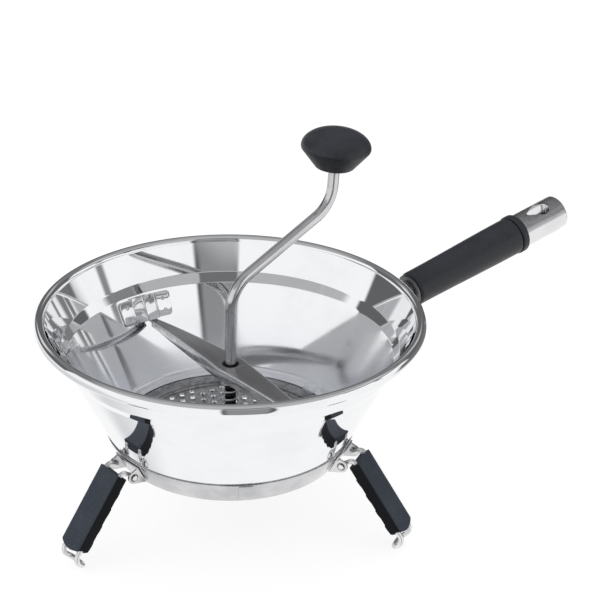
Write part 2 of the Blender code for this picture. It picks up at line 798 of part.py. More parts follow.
def crossbar_mesh():
    """Folded sheet: a tapering top, two flanges and a hook at each end."""
    bm = bmesh.new()
    flange_end = CLIP_FACE_R - BAR_SHEET - FIT
    places = [flange_end * (2 * index / BAR_STATIONS - 1) for index in range(BAR_STATIONS + 1)]
    rows = []
    for place in places:
        half = bar_half_width(place)
        top = bar_top(place)
        low = top - bar_flange(place)
        section = ((-half, place, low), (-half, place, top), (half, place, top), (half, place, low))
        rows.append([bm.verts.new(corner) for corner in section])
    for near, far in zip(rows, rows[1:]):
        for side in range(3):
            bm.faces.new((near[side], near[side + 1], far[side + 1], far[side]))
    for end, sign in ((rows[0], -1), (rows[-1], 1)):
        hook_r = CLIP_FACE_R + BAR_HOOK_REACH
        lean = BAR_HOOK_RISE * math.tan(CONE_ANGLE)
        half = BAR_END_WIDTH / 2
        steps = (
            (CLIP_FACE_R, -BAR_END_DEPTH),
            (hook_r, -BAR_END_DEPTH),
            (hook_r + lean, BAR_HOOK_RISE - BAR_END_DEPTH),
        )
        near = (end[1], end[2])
        for reach, height in steps:
            far = [bm.verts.new((side * half, sign * reach, height)) for side in (-1, 1)]
            corners = (near[0], near[1], far[1], far[0])
            bm.faces.new(corners if sign > 0 else corners[::-1])
            near = far
    mesh = bpy.data.meshes.new("crossbar")
    bm.to_mesh(mesh)
    bm.free()
    return mesh


def build_crossbar(axis):
    """Crossbar with its shaft hole and the bush that the spring presses on."""
    bar = add_part("crossbar", crossbar_mesh(), "dark_steel", axis)
    sheet = bar.modifiers.new("sheet", "SOLIDIFY")
    sheet.thickness = BAR_SHEET
    sheet.offset = -1.0
    sheet.use_even_offset = True
    hole = rod_profile(BAR_HOLE_R, -BAR_DEPTH - OVERRUN, OVERRUN - BAR_DEPTH)
    combine(bar, turned_cutter("bar_hole", hole, axis, SMALL_STEPS, closed=False), "DIFFERENCE")
    outer = BAR_HOLE_R - FIT
    shelf = -BAR_DEPTH - BAR_SHEET - FIT
    bush = [
        (outer, -BUSH_TOP_DEPTH),
        (outer, shelf),
        (BUSH_FLANGE_R, shelf),
        (BUSH_FLANGE_R, shelf - BUSH_FLANGE),
        (BUSH_BORE_R, shelf - BUSH_FLANGE),
        (BUSH_BORE_R, -BUSH_TOP_DEPTH),
    ]
    turned_part("crossbar_bush", bush, "bush_black", axis, SMALL_STEPS)


# Crank, blade and spring
def crank_corners():
    """Corners of the bent rod and the top of its post."""
    shaft_corner = Vector((0.0, 0.0, ROD_RISE))
    post_corner = shaft_corner + Vector((ARM_SPAN, 0.0, ARM_SPAN * math.tan(ARM_SLOPE)))
    post = Vector((math.sin(POST_TILT), 0.0, math.cos(POST_TILT)))
    knob_base = post_corner + post * KNOB_BASE_RISE
    return shaft_corner, post_corner, knob_base, post


def build_crank(axis):
    """Bent rod from the disc to the knob."""
    shaft_corner, post_corner, knob_base, post = crank_corners()
    corners = [
        (Vector((0.0, 0.0, -ROD_FOOT_DEPTH)), 0.0),
        (shaft_corner, SHAFT_BEND_R),
        (post_corner, POST_BEND_R),
        (knob_base + post * KNOB_PIN_LENGTH, 0.0),
    ]
    rod = tube_mesh("crank_rod", rounded_path(corners, PATH_STEP), ROD_R, ROD_SIDES)
    add_part("crank_rod", smooth(rod), "polished_steel", axis)


def build_knob(knob_axis):
    """Turned knob: a cone that opens upwards under a low dome."""
    bore_r = ROD_R + FIT
    bore_top = KNOB_PIN_LENGTH + KNOB_BORE_PLAY
    rim = KNOB_CONE_HEIGHT + KNOB_EDGE
    dome = ellipse_arc((0.0, rim), (KNOB_R, KNOB_DOME), math.radians(90.0), 0.0, 7)
    profile = dome + [
        (KNOB_R - KNOB_EDGE / 2, rim - KNOB_EDGE),
        (KNOB_BASE_R + KNOB_EDGE / 2, KNOB_EDGE / 2),
        (KNOB_BASE_R, 0.0),
        (bore_r, 0.0),
        (bore_r, bore_top),
        (0.0, bore_top),
    ]
    turned_part("crank_knob", profile, "charcoal_plastic", knob_axis, KNOB_STEPS, closed=False)


def blade_point(radius, angle):
    """Point of the blade's underside, which climbs from its scraping edge."""
    share = (BLADE_HALF_SWEEP - angle) / (2 * BLADE_HALF_SWEEP)
    height = BLADE_LIFT - SIEVE_DEPTH + BLADE_RISE * share
    turn = BLADE_AZIMUTH + angle
    return Vector((radius * math.cos(turn), radius * math.sin(turn), height))


def blade_mesh():
    """Half-moon helical plate with a flat toe at its scraping edge and a raised lip in front."""
    bm = bmesh.new()
    inner = HUB_R + FIT
    radii = (inner, (inner + BLADE_R) / 2, BLADE_R)
    rows = []
    for index in range(BLADE_STATIONS + 1):
        angle = BLADE_HALF_SWEEP * (1 - 2 * index / BLADE_STATIONS)
        rows.append([bm.verts.new(blade_point(radius, angle)) for radius in radii])
    lip = []
    lip_azimuth = BLADE_AZIMUTH - BLADE_HALF_SWEEP
    across = Vector((math.sin(lip_azimuth), -math.cos(lip_azimuth), 0.0))
    for radius in radii:
        edge = blade_point(radius, -BLADE_HALF_SWEEP)
        lip.append(bm.verts.new(edge + across * BLADE_LIP))
    rows.append(lip)
    for near, far in zip(rows, rows[1:]):
        for side in range(len(radii) - 1):
            bm.faces.new((near[side], far[side], far[side + 1], near[side + 1]))
    mesh = bpy.data.meshes.new("press_blade")
    bm.to_mesh(mesh)
    bm.free()
    return mesh


def build_blade(axis):
    """Hub on the rod, the blade it carries and the washer under the spring."""
    bore_r = ROD_R + FIT
    hub = [
        (HUB_R - HUB_CHAMFER, -HUB_TOP_DEPTH),
        (HUB_R, -HUB_TOP_DEPTH - HUB_CHAMFER),
        (HUB_R, -HUB_BOTTOM_DEPTH),
        (bore_r, -HUB_BOTTOM_DEPTH),
        (bore_r, -HUB_TOP_DEPTH),
    ]
    turned_part("blade_hub", hub, "satin_steel", axis, SMALL_STEPS)
    washer = ring_profile(WASHER_R, bore_r, -WASHER_TOP_DEPTH - WASHER, -WASHER_TOP_DEPTH)
    turned_part("spring_washer", washer, "polished_steel", axis, SMALL_STEPS)
    blade = add_part("press_blade", blade_mesh(), "satin_steel", axis)
    sheet = blade.modifiers.new("sheet", "SOLIDIFY")
    sheet.thickness = BLADE_SHEET
    sheet.offset = 1.0
    sheet.use_even_offset = True


def spring_points():
    """One unbroken coil with a straight end square to each seat."""
    low = FIT - WASHER_TOP_DEPTH
    high = -BAR_DEPTH - BAR_SHEET - FIT - BUSH_FLANGE - FIT
    stub = 2 * SPRING_WIRE_R
    first = low + stub + SPRING_WIRE_R
    climb = high - stub - SPRING_WIRE_R - first
    count = SPRING_CURLS * SPRING_POINTS
    coil_r = SPRING_R - SPRING_WIRE_R
    points = [Vector((coil_r, 0.0, low)), Vector((coil_r, 0.0, low + stub))]
    for index in range(1, count):
        angle = math.tau * index / SPRING_POINTS
        height = first + climb * index / count
        points.append(Vector((coil_r * math.cos(angle), coil_r * math.sin(angle), height)))
    points += [Vector((coil_r, 0.0, high - stub)), Vector((coil_r, 0.0, high))]
    return points


def least_gap(points, radius, skip):
    """Least clear distance of a tube to itself, between points more than skip apart."""
    gaps = [
        (points[first] - points[second]).length
        for first in range(len(points))
        for second in range(first + skip, len(points))
    ]
    return min(gaps) - 2 * radius


def build_spring(axis):
    """Pressure spring between the washer and the bush."""
    points = spring_points()
    gap = least_gap(points, SPRING_WIRE_R, SPRING_POINTS // 2)
    print(f"pressure_spring least gap to itself: {gap * 1000:.2f} mm")
    coil = tube_curve("pressure_spring", points, SPRING_WIRE_R, 1)
    add_part("pressure_spring", coil, "polished_steel", axis)


# Handle
def saddle_profile():
    """Section of the saddle plate on the outside of the cone."""
    inner = FIT / math.cos(CONE_ANGLE)
    outer = (FIT + SADDLE_SHEET) / math.cos(CONE_ANGLE)
    return [
        (cone_outer(SADDLE_TOP_DEPTH) + outer, -SADDLE_TOP_DEPTH),
        (cone_outer(SADDLE_BOTTOM_DEPTH) + outer, -SADDLE_BOTTOM_DEPTH),
        (cone_outer(SADDLE_BOTTOM_DEPTH) + inner, -SADDLE_BOTTOM_DEPTH),
        (cone_outer(SADDLE_TOP_DEPTH) + inner, -SADDLE_TOP_DEPTH),
    ]


def build_bracket(frame, handle_axis):
    """Saddle on the bowl with the neck that carries the handle."""
    half = SADDLE_WIDTH / 2 / cone_outer(SADDLE_TOP_DEPTH)
    plate = arc_block("handle_bracket", saddle_profile(), half, 8)
    saddle = add_part("handle_bracket", plate, "satin_steel", frame)
    root = (cone_outer(GRIP_START_DEPTH) - GRIP_START_R - NECK_ROOT_R) / math.cos(HANDLE_RISE)
    neck_end = -FIT - RING_LENGTH - FIT
    neck = [
        (0.0, neck_end - CORE_SOCKET),
        (CORE_R + FIT, neck_end - CORE_SOCKET),
        (CORE_R + FIT, neck_end),
        (NECK_R, neck_end),
        (NECK_ROOT_R, root),
        (0.0, root),
    ]
    stem = turned_cutter("bracket_neck", neck, handle_axis, SMALL_STEPS, closed=False)
    margin = FIT / math.cos(CONE_ANGLE)
    inside = [
        (0.0, -THROAT_DEPTH),
        (THROAT_R + SHEET / math.cos(CONE_ANGLE) + margin, -THROAT_DEPTH),
        (CONE_R + margin, -CONE_DEPTH),
        (cone_outer(LEDGE_DEPTH) + margin, -LEDGE_DEPTH),
        (0.0, -LEDGE_DEPTH),
    ]
    combine(stem, turned_cutter("bowl_envelope", inside, frame, closed=False), "DIFFERENCE")
    combine(saddle, stem, "UNION")


def grip_profile():
    """Section of the grip, thicker towards its outer end."""
    bore_r = CORE_R + FIT
    end_r = GRIP_EDGE / 2
    quarter = math.radians(90.0)
    outer_edge = arc_outline((GRIP_OUTER_R - end_r, GRIP_LENGTH - end_r), end_r, quarter, 0.0, 2)
    inner_edge = arc_outline((GRIP_INNER_R - GRIP_EDGE, GRIP_EDGE), GRIP_EDGE, 0.0, -quarter, 3)
    swell = [
        (GRIP_INNER_R + (GRIP_OUTER_R - GRIP_INNER_R) * share, GRIP_LENGTH * (1 - along))
        for along, share in GRIP_SWELL_SHARES
    ]
    return outer_edge + swell + inner_edge + [(bore_r, 0.0), (bore_r, GRIP_LENGTH)]


def collar_profile(radius, bottom, length):
    """Ring with rounded outer edges, round the handle's core."""
    bore_r = CORE_R + FIT
    top = bottom + length
    return [
        (radius - COLLAR_EDGE, top),
        (radius, top - COLLAR_EDGE),
        (radius, bottom + COLLAR_EDGE),
        (radius - COLLAR_EDGE, bottom),
        (bore_r, bottom),
        (bore_r, top),
    ]


def eye_outline():
    """Teardrop outline, wide towards the handle's tip."""
    spread = EYE_LENGTH - EYE_R - EYE_SMALL_R
    lean = math.asin((EYE_R - EYE_SMALL_R) / spread)
    wide = math.radians(90.0) + lean
    outline = arc_outline((0.0, 0.0), EYE_R, -wide, wide, 12)
    outline += arc_outline((-spread, 0.0), EYE_SMALL_R, wide, math.tau - wide, 4)
    return outline


def scarf_outline(tip):
    """Side outline of what is cut off under the end tube, from its underside up to its tip."""
    start = Vector((TUBE_R, tip - SCARF_LENGTH))
    run = Vector((-SCARF_DEPTH, SCARF_LENGTH))
    low = start - run / 4
    high = start + run * 1.25
    return [tuple(low), (2 * TUBE_R, low.y), (2 * TUBE_R, high.y), tuple(high)]


def build_tube(handle_axis):
    """Steel end tube with a domed tip, a slanting cut below and the hanging eye through both walls."""
    tip = TUBE_START + TUBE_LENGTH
    inner = TUBE_R - TUBE_WALL
    dome = ellipse_arc((0.0, tip - TUBE_DOME), (TUBE_R, TUBE_DOME), math.radians(90.0), 0.0, 5)
    cavity = (inner, TUBE_DOME - TUBE_WALL)
    hollow = ellipse_arc((0.0, tip - TUBE_DOME), cavity, 0.0, math.radians(90.0), 4)
    profile = dome + [
        (TUBE_R, TUBE_START),
        (CORE_R + FIT, TUBE_START),
        (CORE_R + FIT, TUBE_START + TUBE_WALL),
        (inner, TUBE_START + TUBE_WALL),
    ] + hollow
    tube = turned_part("handle_tube", profile, "polished_steel", handle_axis, SMALL_STEPS, closed=False)
    eye = plate_mesh("hanging_eye", [eye_outline()], 2 * TUBE_R + 2 * OVERRUN)
    along = Matrix(((0.0, 0.0, 1.0), (0.0, -1.0, 0.0), (1.0, 0.0, 0.0))).to_4x4()
    place = (0.0, 0.0, tip - EYE_FROM_TIP + EYE_LENGTH / 2 - EYE_R)
    cutter = add_cutter("hanging_eye", placed(eye, along), handle_axis, location=place)
    combine(tube, cutter, "DIFFERENCE")
    upright = Matrix(((1.0, 0.0, 0.0), (0.0, 0.0, -1.0), (0.0, 1.0, 0.0))).to_4x4()
    scarf = plate_mesh("tube_scarf", [scarf_outline(tip)], 4 * TUBE_R)
    combine(tube, add_cutter("tube_scarf", placed(scarf, upright), handle_axis), "DIFFERENCE")


def build_handle(frame):
    """Bracket, core, grip, collars and end tube."""
    start = (GRIP_START_R, 0.0, -GRIP_START_DEPTH)
    handle_axis = add_empty("handle_axis", frame, start, (0.0, math.radians(90.0) - HANDLE_RISE, 0.0))
    build_bracket(frame, handle_axis)
    core_bottom = -FIT - RING_LENGTH - CORE_SOCKET
    core_top = TUBE_START + TUBE_WALL + CORE_END
    core = rod_profile(CORE_R, core_bottom, core_top)
    turned_part("handle_core", core, "satin_steel", handle_axis, SMALL_STEPS, closed=False)
    turned_part("handle_grip", grip_profile(), "charcoal_plastic", handle_axis, SMALL_STEPS)
    inner_ring = collar_profile(RING_R, -FIT - RING_LENGTH, RING_LENGTH)
    turned_part("grip_collar_inner", inner_ring, "satin_steel", handle_axis, SMALL_STEPS)
    outer_ring = collar_profile(COLLAR_R, GRIP_LENGTH + FIT, COLLAR_LENGTH)
    turned_part("grip_collar_outer", outer_ring, "charcoal_plastic", handle_axis, SMALL_STEPS)
    build_tube(handle_axis)


# Legs
def leg_bracket_mesh():
    """Plate on the band with two ears for the leg's wire, at azimuth zero."""
    rest = FIT / math.cos(BAND_ANGLE)
    full = (FIT + LEG_PLATE_SHEET) / math.cos(BAND_ANGLE)
    top = LEG_PLATE_TOP_DEPTH
    low = LEG_PLATE_BOTTOM_DEPTH
    plate_profile = [
        (band_outer(top) + full, -top),
        (band_outer(low) + full, -low),
        (band_outer(low) + rest, -low),
        (band_outer(top) + rest, -top),
    ]
    half = (LEG_PLATE_WIDTH / 2) / band_outer(top)
    plate = add_cutter("leg_plate", arc_block("leg_plate", plate_profile, half, 4))
    middle_r = band_outer(HINGE_DEPTH) + (rest + full) / 2
    base_r = math.sqrt(middle_r ** 2 - (EAR_SPACING / 2) ** 2) - HINGE_R
    rise = EAR_BASE / 2
    drift = rise * math.tan(BAND_ANGLE)
    ear = arc_outline((0.0, 0.0), EAR_R, -EAR_SWEEP, EAR_SWEEP, 8)
    ear += [(base_r + drift, rise), (base_r - drift, -rise)]
    eye = polygon((0.0, 0.0), WIRE_R + WIRE_PLAY, 12)
    upright = Matrix(((1.0, 0.0, 0.0), (0.0, 0.0, -1.0), (0.0, 1.0, 0.0))).to_4x4()
    for sign in (-1, 1):
        mesh = placed(plate_mesh("leg_ear", [ear, eye], EAR_SHEET), upright)
        place = (HINGE_R, sign * (EAR_SPACING - EAR_SHEET) / 2, -HINGE_DEPTH)
        combine(plate, add_cutter(f"leg_ear_{sign}", mesh, location=place), "UNION")
    return evaluated_mesh(plate)


def leg_wire_mesh():
    """Open hairpin of round wire: two pins, two limbs with a knee each, and a rounded foot."""
    limb = LIMB_SPACING / 2
    pin = EAR_SPACING / 2 + WIRE_END
    side = [
        (Vector((0.0, pin, 0.0)), 0.0),
        (Vector((0.0, limb, 0.0)), EYE_BEND_R),
        (KNEE + Vector((0.0, limb, 0.0)), KNEE_BEND_R),
        (FOOT_CORNER + Vector((0.0, limb, 0.0)), FOOT_BEND_R),
        (FOOT_TIP + Vector((0.0, limb, 0.0)), CROWN_BEND_R),
    ]
    mirror = [(Vector((point.x, -point.y, point.z)), radius) for point, radius in reversed(side)]
    return tube_mesh("leg_wire", rounded_path(side + mirror, WIRE_STEP), WIRE_R, 2)


def sleeve_side():
    """Side outline of the sleeve along its length, with saw-tooth ribs underneath."""
    half = SLEEVE_THICKNESS / 2
    above = half + OVERRUN
    outline = [(0.0, -half), (0.0, above), (SLEEVE_LENGTH, above), (SLEEVE_LENGTH, -half)]
    for index in reversed(range(RIB_COUNT)):
        crest = RIB_START + RIB_PITCH * index
        outline.append((crest + RIB_SLOPE, -half))
        outline.append((crest, -half - RIB_HEIGHT))
        outline.append((crest - RIB_HEIGHT / 2, -half))
    return outline


def sleeve_plan():
    """Plan outline of the sleeve, square at the top and bowed at its foot."""
    half = SLEEVE_WIDTH / 2
    reach = SLEEVE_LENGTH - SLEEVE_BOW
    wide = half + OVERRUN
    bow_r = (half ** 2 + SLEEVE_BOW ** 2) / (2 * SLEEVE_BOW)
    spread = math.asin(half / bow_r)
    foot = arc_outline((SLEEVE_LENGTH - bow_r, 0.0), bow_r, spread, -spread, 8)
    left = [(-OVERRUN, wide), (reach - OVERRUN, wide), (reach - OVERRUN, half)]
    right = [(place, -across) for place, across in reversed(left)]
    return left + foot + right


def sleeve_section():
    """Cross-section of the sleeve with rounded edges."""
    half = SLEEVE_WIDTH / 2 - SLEEVE_EDGE_R
    top = SLEEVE_THICKNESS / 2 - SLEEVE_EDGE_R
    low = -SLEEVE_THICKNESS / 2 - RIB_HEIGHT + SLEEVE_EDGE_R
    outline = []
    quarter = math.radians(90.0)
    for turns, corner in enumerate(((half, top), (-half, top), (-half, low), (half, low))):
        outline += arc_outline(corner, SLEEVE_EDGE_R, turns * quarter, (turns + 1) * quarter, 3)
    return outline


def leg_sleeve_mesh():
    """Moulded sleeve in its own frame: X along the leg, Z away from the bowl."""
    quarter_turn = math.radians(90.0)
    lengthwise = Matrix(((0.0, 0.0, 1.0), (1.0, 0.0, 0.0), (0.0, 1.0, 0.0))).to_4x4()
    upright = Matrix(((1.0, 0.0, 0.0), (0.0, 0.0, -1.0), (0.0, 1.0, 0.0))).to_4x4()
    body = plate_mesh("leg_sleeve", [sleeve_section()], SLEEVE_LENGTH + 2 * OVERRUN)
    middle = Matrix.Translation((SLEEVE_LENGTH / 2, 0.0, 0.0))
    sleeve = add_cutter("leg_sleeve_body", placed(body, middle @ lengthwise))
    side = placed(plate_mesh("sleeve_side", [sleeve_side()], SLEEVE_WIDTH + 4 * OVERRUN), upright)
    combine(sleeve, add_cutter("sleeve_side", side), "INTERSECT")
    plan = plate_mesh("sleeve_plan", [sleeve_plan()], 4 * SLEEVE_THICKNESS)
    combine(sleeve, add_cutter("sleeve_plan", plan), "INTERSECT")
    bore = rod_profile(WIRE_R + FIT, -OVERRUN, SLEEVE_LENGTH + OVERRUN)
    for sign in (-1, 1):
        place = {"location": (0.0, sign * LIMB_SPACING / 2, 0.0), "rotation": (0.0, quarter_turn, 0.0)}
        cutter = turned_cutter(f"sleeve_bore_{sign}", bore, None, SMALL_STEPS // 2, False, **place)
        combine(sleeve, cutter, "DIFFERENCE")
    return evaluated_mesh(sleeve)


def floor_cutter(root):
    """Slab below the floor, which trims the feet flat."""
    bm = bmesh.new()
    bmesh.ops.create_cube(bm, size=1.0)
    size = Vector((4 * RIM_R, 4 * RIM_R, 2 * FOOT_BEND_R))
    bmesh.ops.scale(bm, verts=bm.verts, vec=size)
    bmesh.ops.translate(bm, verts=bm.verts, vec=(0.0, 0.0, -size.z / 2))
    mesh = bpy.data.meshes.new("floor")
    bm.to_mesh(mesh)
    bm.free()
    return add_cutter("floor", mesh, root)


def build_legs(root, frame):
    """Three folding legs, one opposite the handle and two beside it."""
    bracket = leg_bracket_mesh()
    wire = smooth(leg_wire_mesh())
    sleeve = leg_sleeve_mesh()
    floor = floor_cutter(root)
    for index, azimuth in enumerate(LEG_AZIMUTHS, start=1):
        add_part(f"leg_bracket_{index}", bracket, "satin_steel", frame, rotation=(0.0, 0.0, azimuth))
        place = (HINGE_R * math.cos(azimuth), HINGE_R * math.sin(azimuth), -HINGE_DEPTH)
        hinge = add_empty(f"leg_hinge_{index}", frame, place, (0.0, 0.0, azimuth))
        hairpin = add_part(f"leg_wire_{index}", wire, "satin_steel", hinge)
        combine(hairpin, floor, "DIFFERENCE")
        tilt = (0.0, LEG_TILT, 0.0)
        add_part(f"leg_sleeve_{index}", sleeve, "slate_silicone", hinge, SLEEVE_TOP, tilt)


def centre_on_footprint(root):
    """Move the whole mill so that the middle of its box stands over the origin."""
    bpy.context.view_layer.update()
    graph = bpy.context.evaluated_depsgraph_get()
    places = []
    for part in PARTS.objects:
        if part.type == "EMPTY":
            continue
        seen = part.evaluated_get(graph)
        mesh = seen.to_mesh()
        places += [(part.matrix_world @ vert.co).x for vert in mesh.vertices]
        seen.to_mesh_clear()
    root.location.x = -(min(places) + max(places)) / 2
    print(f"bowl axis at x = {root.location.x:.7f} m, rim height = {RIM_HEIGHT:.7f} m")


def main():
    """Build the whole mill."""
    clear_scene()
    make_materials()
    root = add_empty("mill_root")
    frame = add_empty("rim_frame", root, (0.0, 0.0, RIM_HEIGHT))
    build_bowl(frame)
    build_base_band(frame)
    build_clips(frame)
    build_sieve(frame)
    bridge_axis = add_empty("bridge_axis", frame)
    build_crossbar(bridge_axis)
    crank_axis = add_empty("crank_axis", frame)
    build_crank(crank_axis)
    _, _, knob_base, _ = crank_corners()
    knob_axis = add_empty("knob_axis", crank_axis, knob_base, (0.0, POST_TILT, 0.0))
    build_knob(knob_axis)
    build_blade(crank_axis)
    build_spring(crank_axis)
    build_handle(frame)
    build_legs(root, frame)
    centre_on_footprint(root)


main()
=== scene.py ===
"""Dresses the food mill: polished bowl, sieve disc, sprung crossbar, crank, handle and folding legs."""
from __future__ import annotations

import logging
import math
from dataclasses import dataclass, field
from enum import Enum
from itertools import product
from typing import Callable, Iterable, Sequence

import bmesh
import bpy
from mathutils import Matrix, Vector


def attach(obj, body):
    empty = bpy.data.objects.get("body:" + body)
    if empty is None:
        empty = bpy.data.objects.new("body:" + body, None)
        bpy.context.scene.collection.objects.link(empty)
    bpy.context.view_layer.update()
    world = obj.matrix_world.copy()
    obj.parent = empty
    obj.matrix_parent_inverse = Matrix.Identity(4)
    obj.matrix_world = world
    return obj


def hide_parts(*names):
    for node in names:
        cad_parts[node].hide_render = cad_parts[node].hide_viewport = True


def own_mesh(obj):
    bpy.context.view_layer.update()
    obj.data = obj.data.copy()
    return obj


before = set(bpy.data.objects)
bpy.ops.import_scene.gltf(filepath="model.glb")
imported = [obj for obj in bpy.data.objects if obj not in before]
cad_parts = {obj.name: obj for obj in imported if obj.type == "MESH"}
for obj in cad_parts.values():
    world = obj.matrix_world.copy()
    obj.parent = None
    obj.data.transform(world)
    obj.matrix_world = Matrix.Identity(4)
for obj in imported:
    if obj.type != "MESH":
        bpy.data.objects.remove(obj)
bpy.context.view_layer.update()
LOG = logging.getLogger("food_mill")

QUARTER = math.radians(90.0)

# Facets round a turned shape, and the angle from which an edge counts as sharp
FINE_TURN = 176
HANDLE_TURN = 96
SMALL_TURN = 64
SHARP = math.radians(34.0)

# Gap between fitted pieces, and the bowl's cone: its radii at its top, and that top's depth below the rim
FIT = 0.0003
CONE_ANGLE = math.radians(26.2)
CONE_OUTER_R = 0.1101
CONE_INNER_R = 0.1091
CONE_TOP = 0.0295

# Spot welds of the clips, and the place of a pin's end beside its leg's middle
WELD_DEPTHS = (0.0350, 0.0428)
WELD_SIDE = 0.0150
WELD_STAND = 0.0012
PIN_END = 0.0122

BMesh = bmesh.types.BMesh
Vert = bmesh.types.BMVert
Edge = bmesh.types.BMEdge
Face = bmesh.types.BMFace
Socket = bpy.types.NodeSocket
Profile = list[tuple[float, float]]
Corners = Sequence[tuple[float, float, float]]
Colour = tuple[float, float, float]


class Body(Enum):
    """The rigid bodies that the pieces ride on."""

    MILL = "mill"
    CRANK = "crank"
    KNOB = "knob"
    BRIDGE = "bridge"
    LEG_1 = "leg_1"
    LEG_2 = "leg_2"
    LEG_3 = "leg_3"


class Lay(Enum):
    """Direction of the fine lines that a polishing or brushing wheel leaves."""

    TURNED = "round the bowl's axis"
    ALONG_Y = "along the crossbar"
    ALONG_HANDLE = "along the handle"
    UPRIGHT = "up and down"
    CLOUDY = "no direction"


# Shader expressions


class Signal:
    """A shader socket that takes part in Python sums."""

    def __init__(self, net: ShaderNet, socket: Socket) -> None:
        """Wrap an output socket of a shader net."""
        self.net = net
        self.socket = socket

    def maths(self, operation: str, *others: Signal | float, flipped: bool = False) -> Signal:
        """One Math node on this signal.

        Args:
            operation: The Math node's operation.
            others: The further operands, in order.
            flipped: Whether the first of the others goes before this signal.

        Returns:
            The result as a signal.
        """
        terms: list[Signal | float] = [self, *others]
        if flipped:
            terms[0], terms[1] = terms[1], terms[0]
        node = self.net.node("ShaderNodeMath", {"operation": operation}, dict(enumerate(terms)))
        return Signal(self.net, node.outputs[0])

    def __add__(self, other: Signal | float) -> Signal:
        """Sum."""
        return self.maths("ADD", other)

    def __radd__(self, other: float) -> Signal:
        """Sum with a number on the left."""
        return self.maths("ADD", other)

    def __sub__(self, other: Signal | float) -> Signal:
        """Difference."""
        return self.maths("SUBTRACT", other)

    def __rsub__(self, other: float) -> Signal:
        """Difference from a number on the left."""
        return self.maths("SUBTRACT", other, flipped=True)

    def __mul__(self, other: Signal | float) -> Signal:
        """Product."""
        return self.maths("MULTIPLY", other)

    def __rmul__(self, other: float) -> Signal:
        """Product with a number on the left."""
        return self.maths("MULTIPLY", other)

    def __truediv__(self, other: Signal | float) -> Signal:
        """Quotient."""
        return self.maths("DIVIDE", other)

    def __abs__(self) -> Signal:
        """Size without sign."""
        return self.maths("ABSOLUTE")

    def most(self, other: Signal | float) -> Signal:
        """The larger of two values."""
        return self.maths("MAXIMUM", other)

    def least(self, other: Signal | float) -> Signal:
        """The smaller of two values."""
        return self.maths("MINIMUM", other)

    def step(self, low: float, high: float) -> Signal:
        """Soft step.

        Args:
            low: Where the step starts; it may be above high for a falling step.
            high: Where the step ends.

        Returns:
            0 at low, 1 at high, smooth between.
        """
        settings = {"interpolation_type": "SMOOTHSTEP"}
        inputs = {"Value": self, "From Min": low, "From Max": high}
        if low > high:
            inputs = {"Value": self, "From Min": high, "From Max": low, "To Min": 1.0, "To Max": 0.0}
        return Signal(self.net, self.net.node("ShaderNodeMapRange", settings, inputs).outputs["Result"])


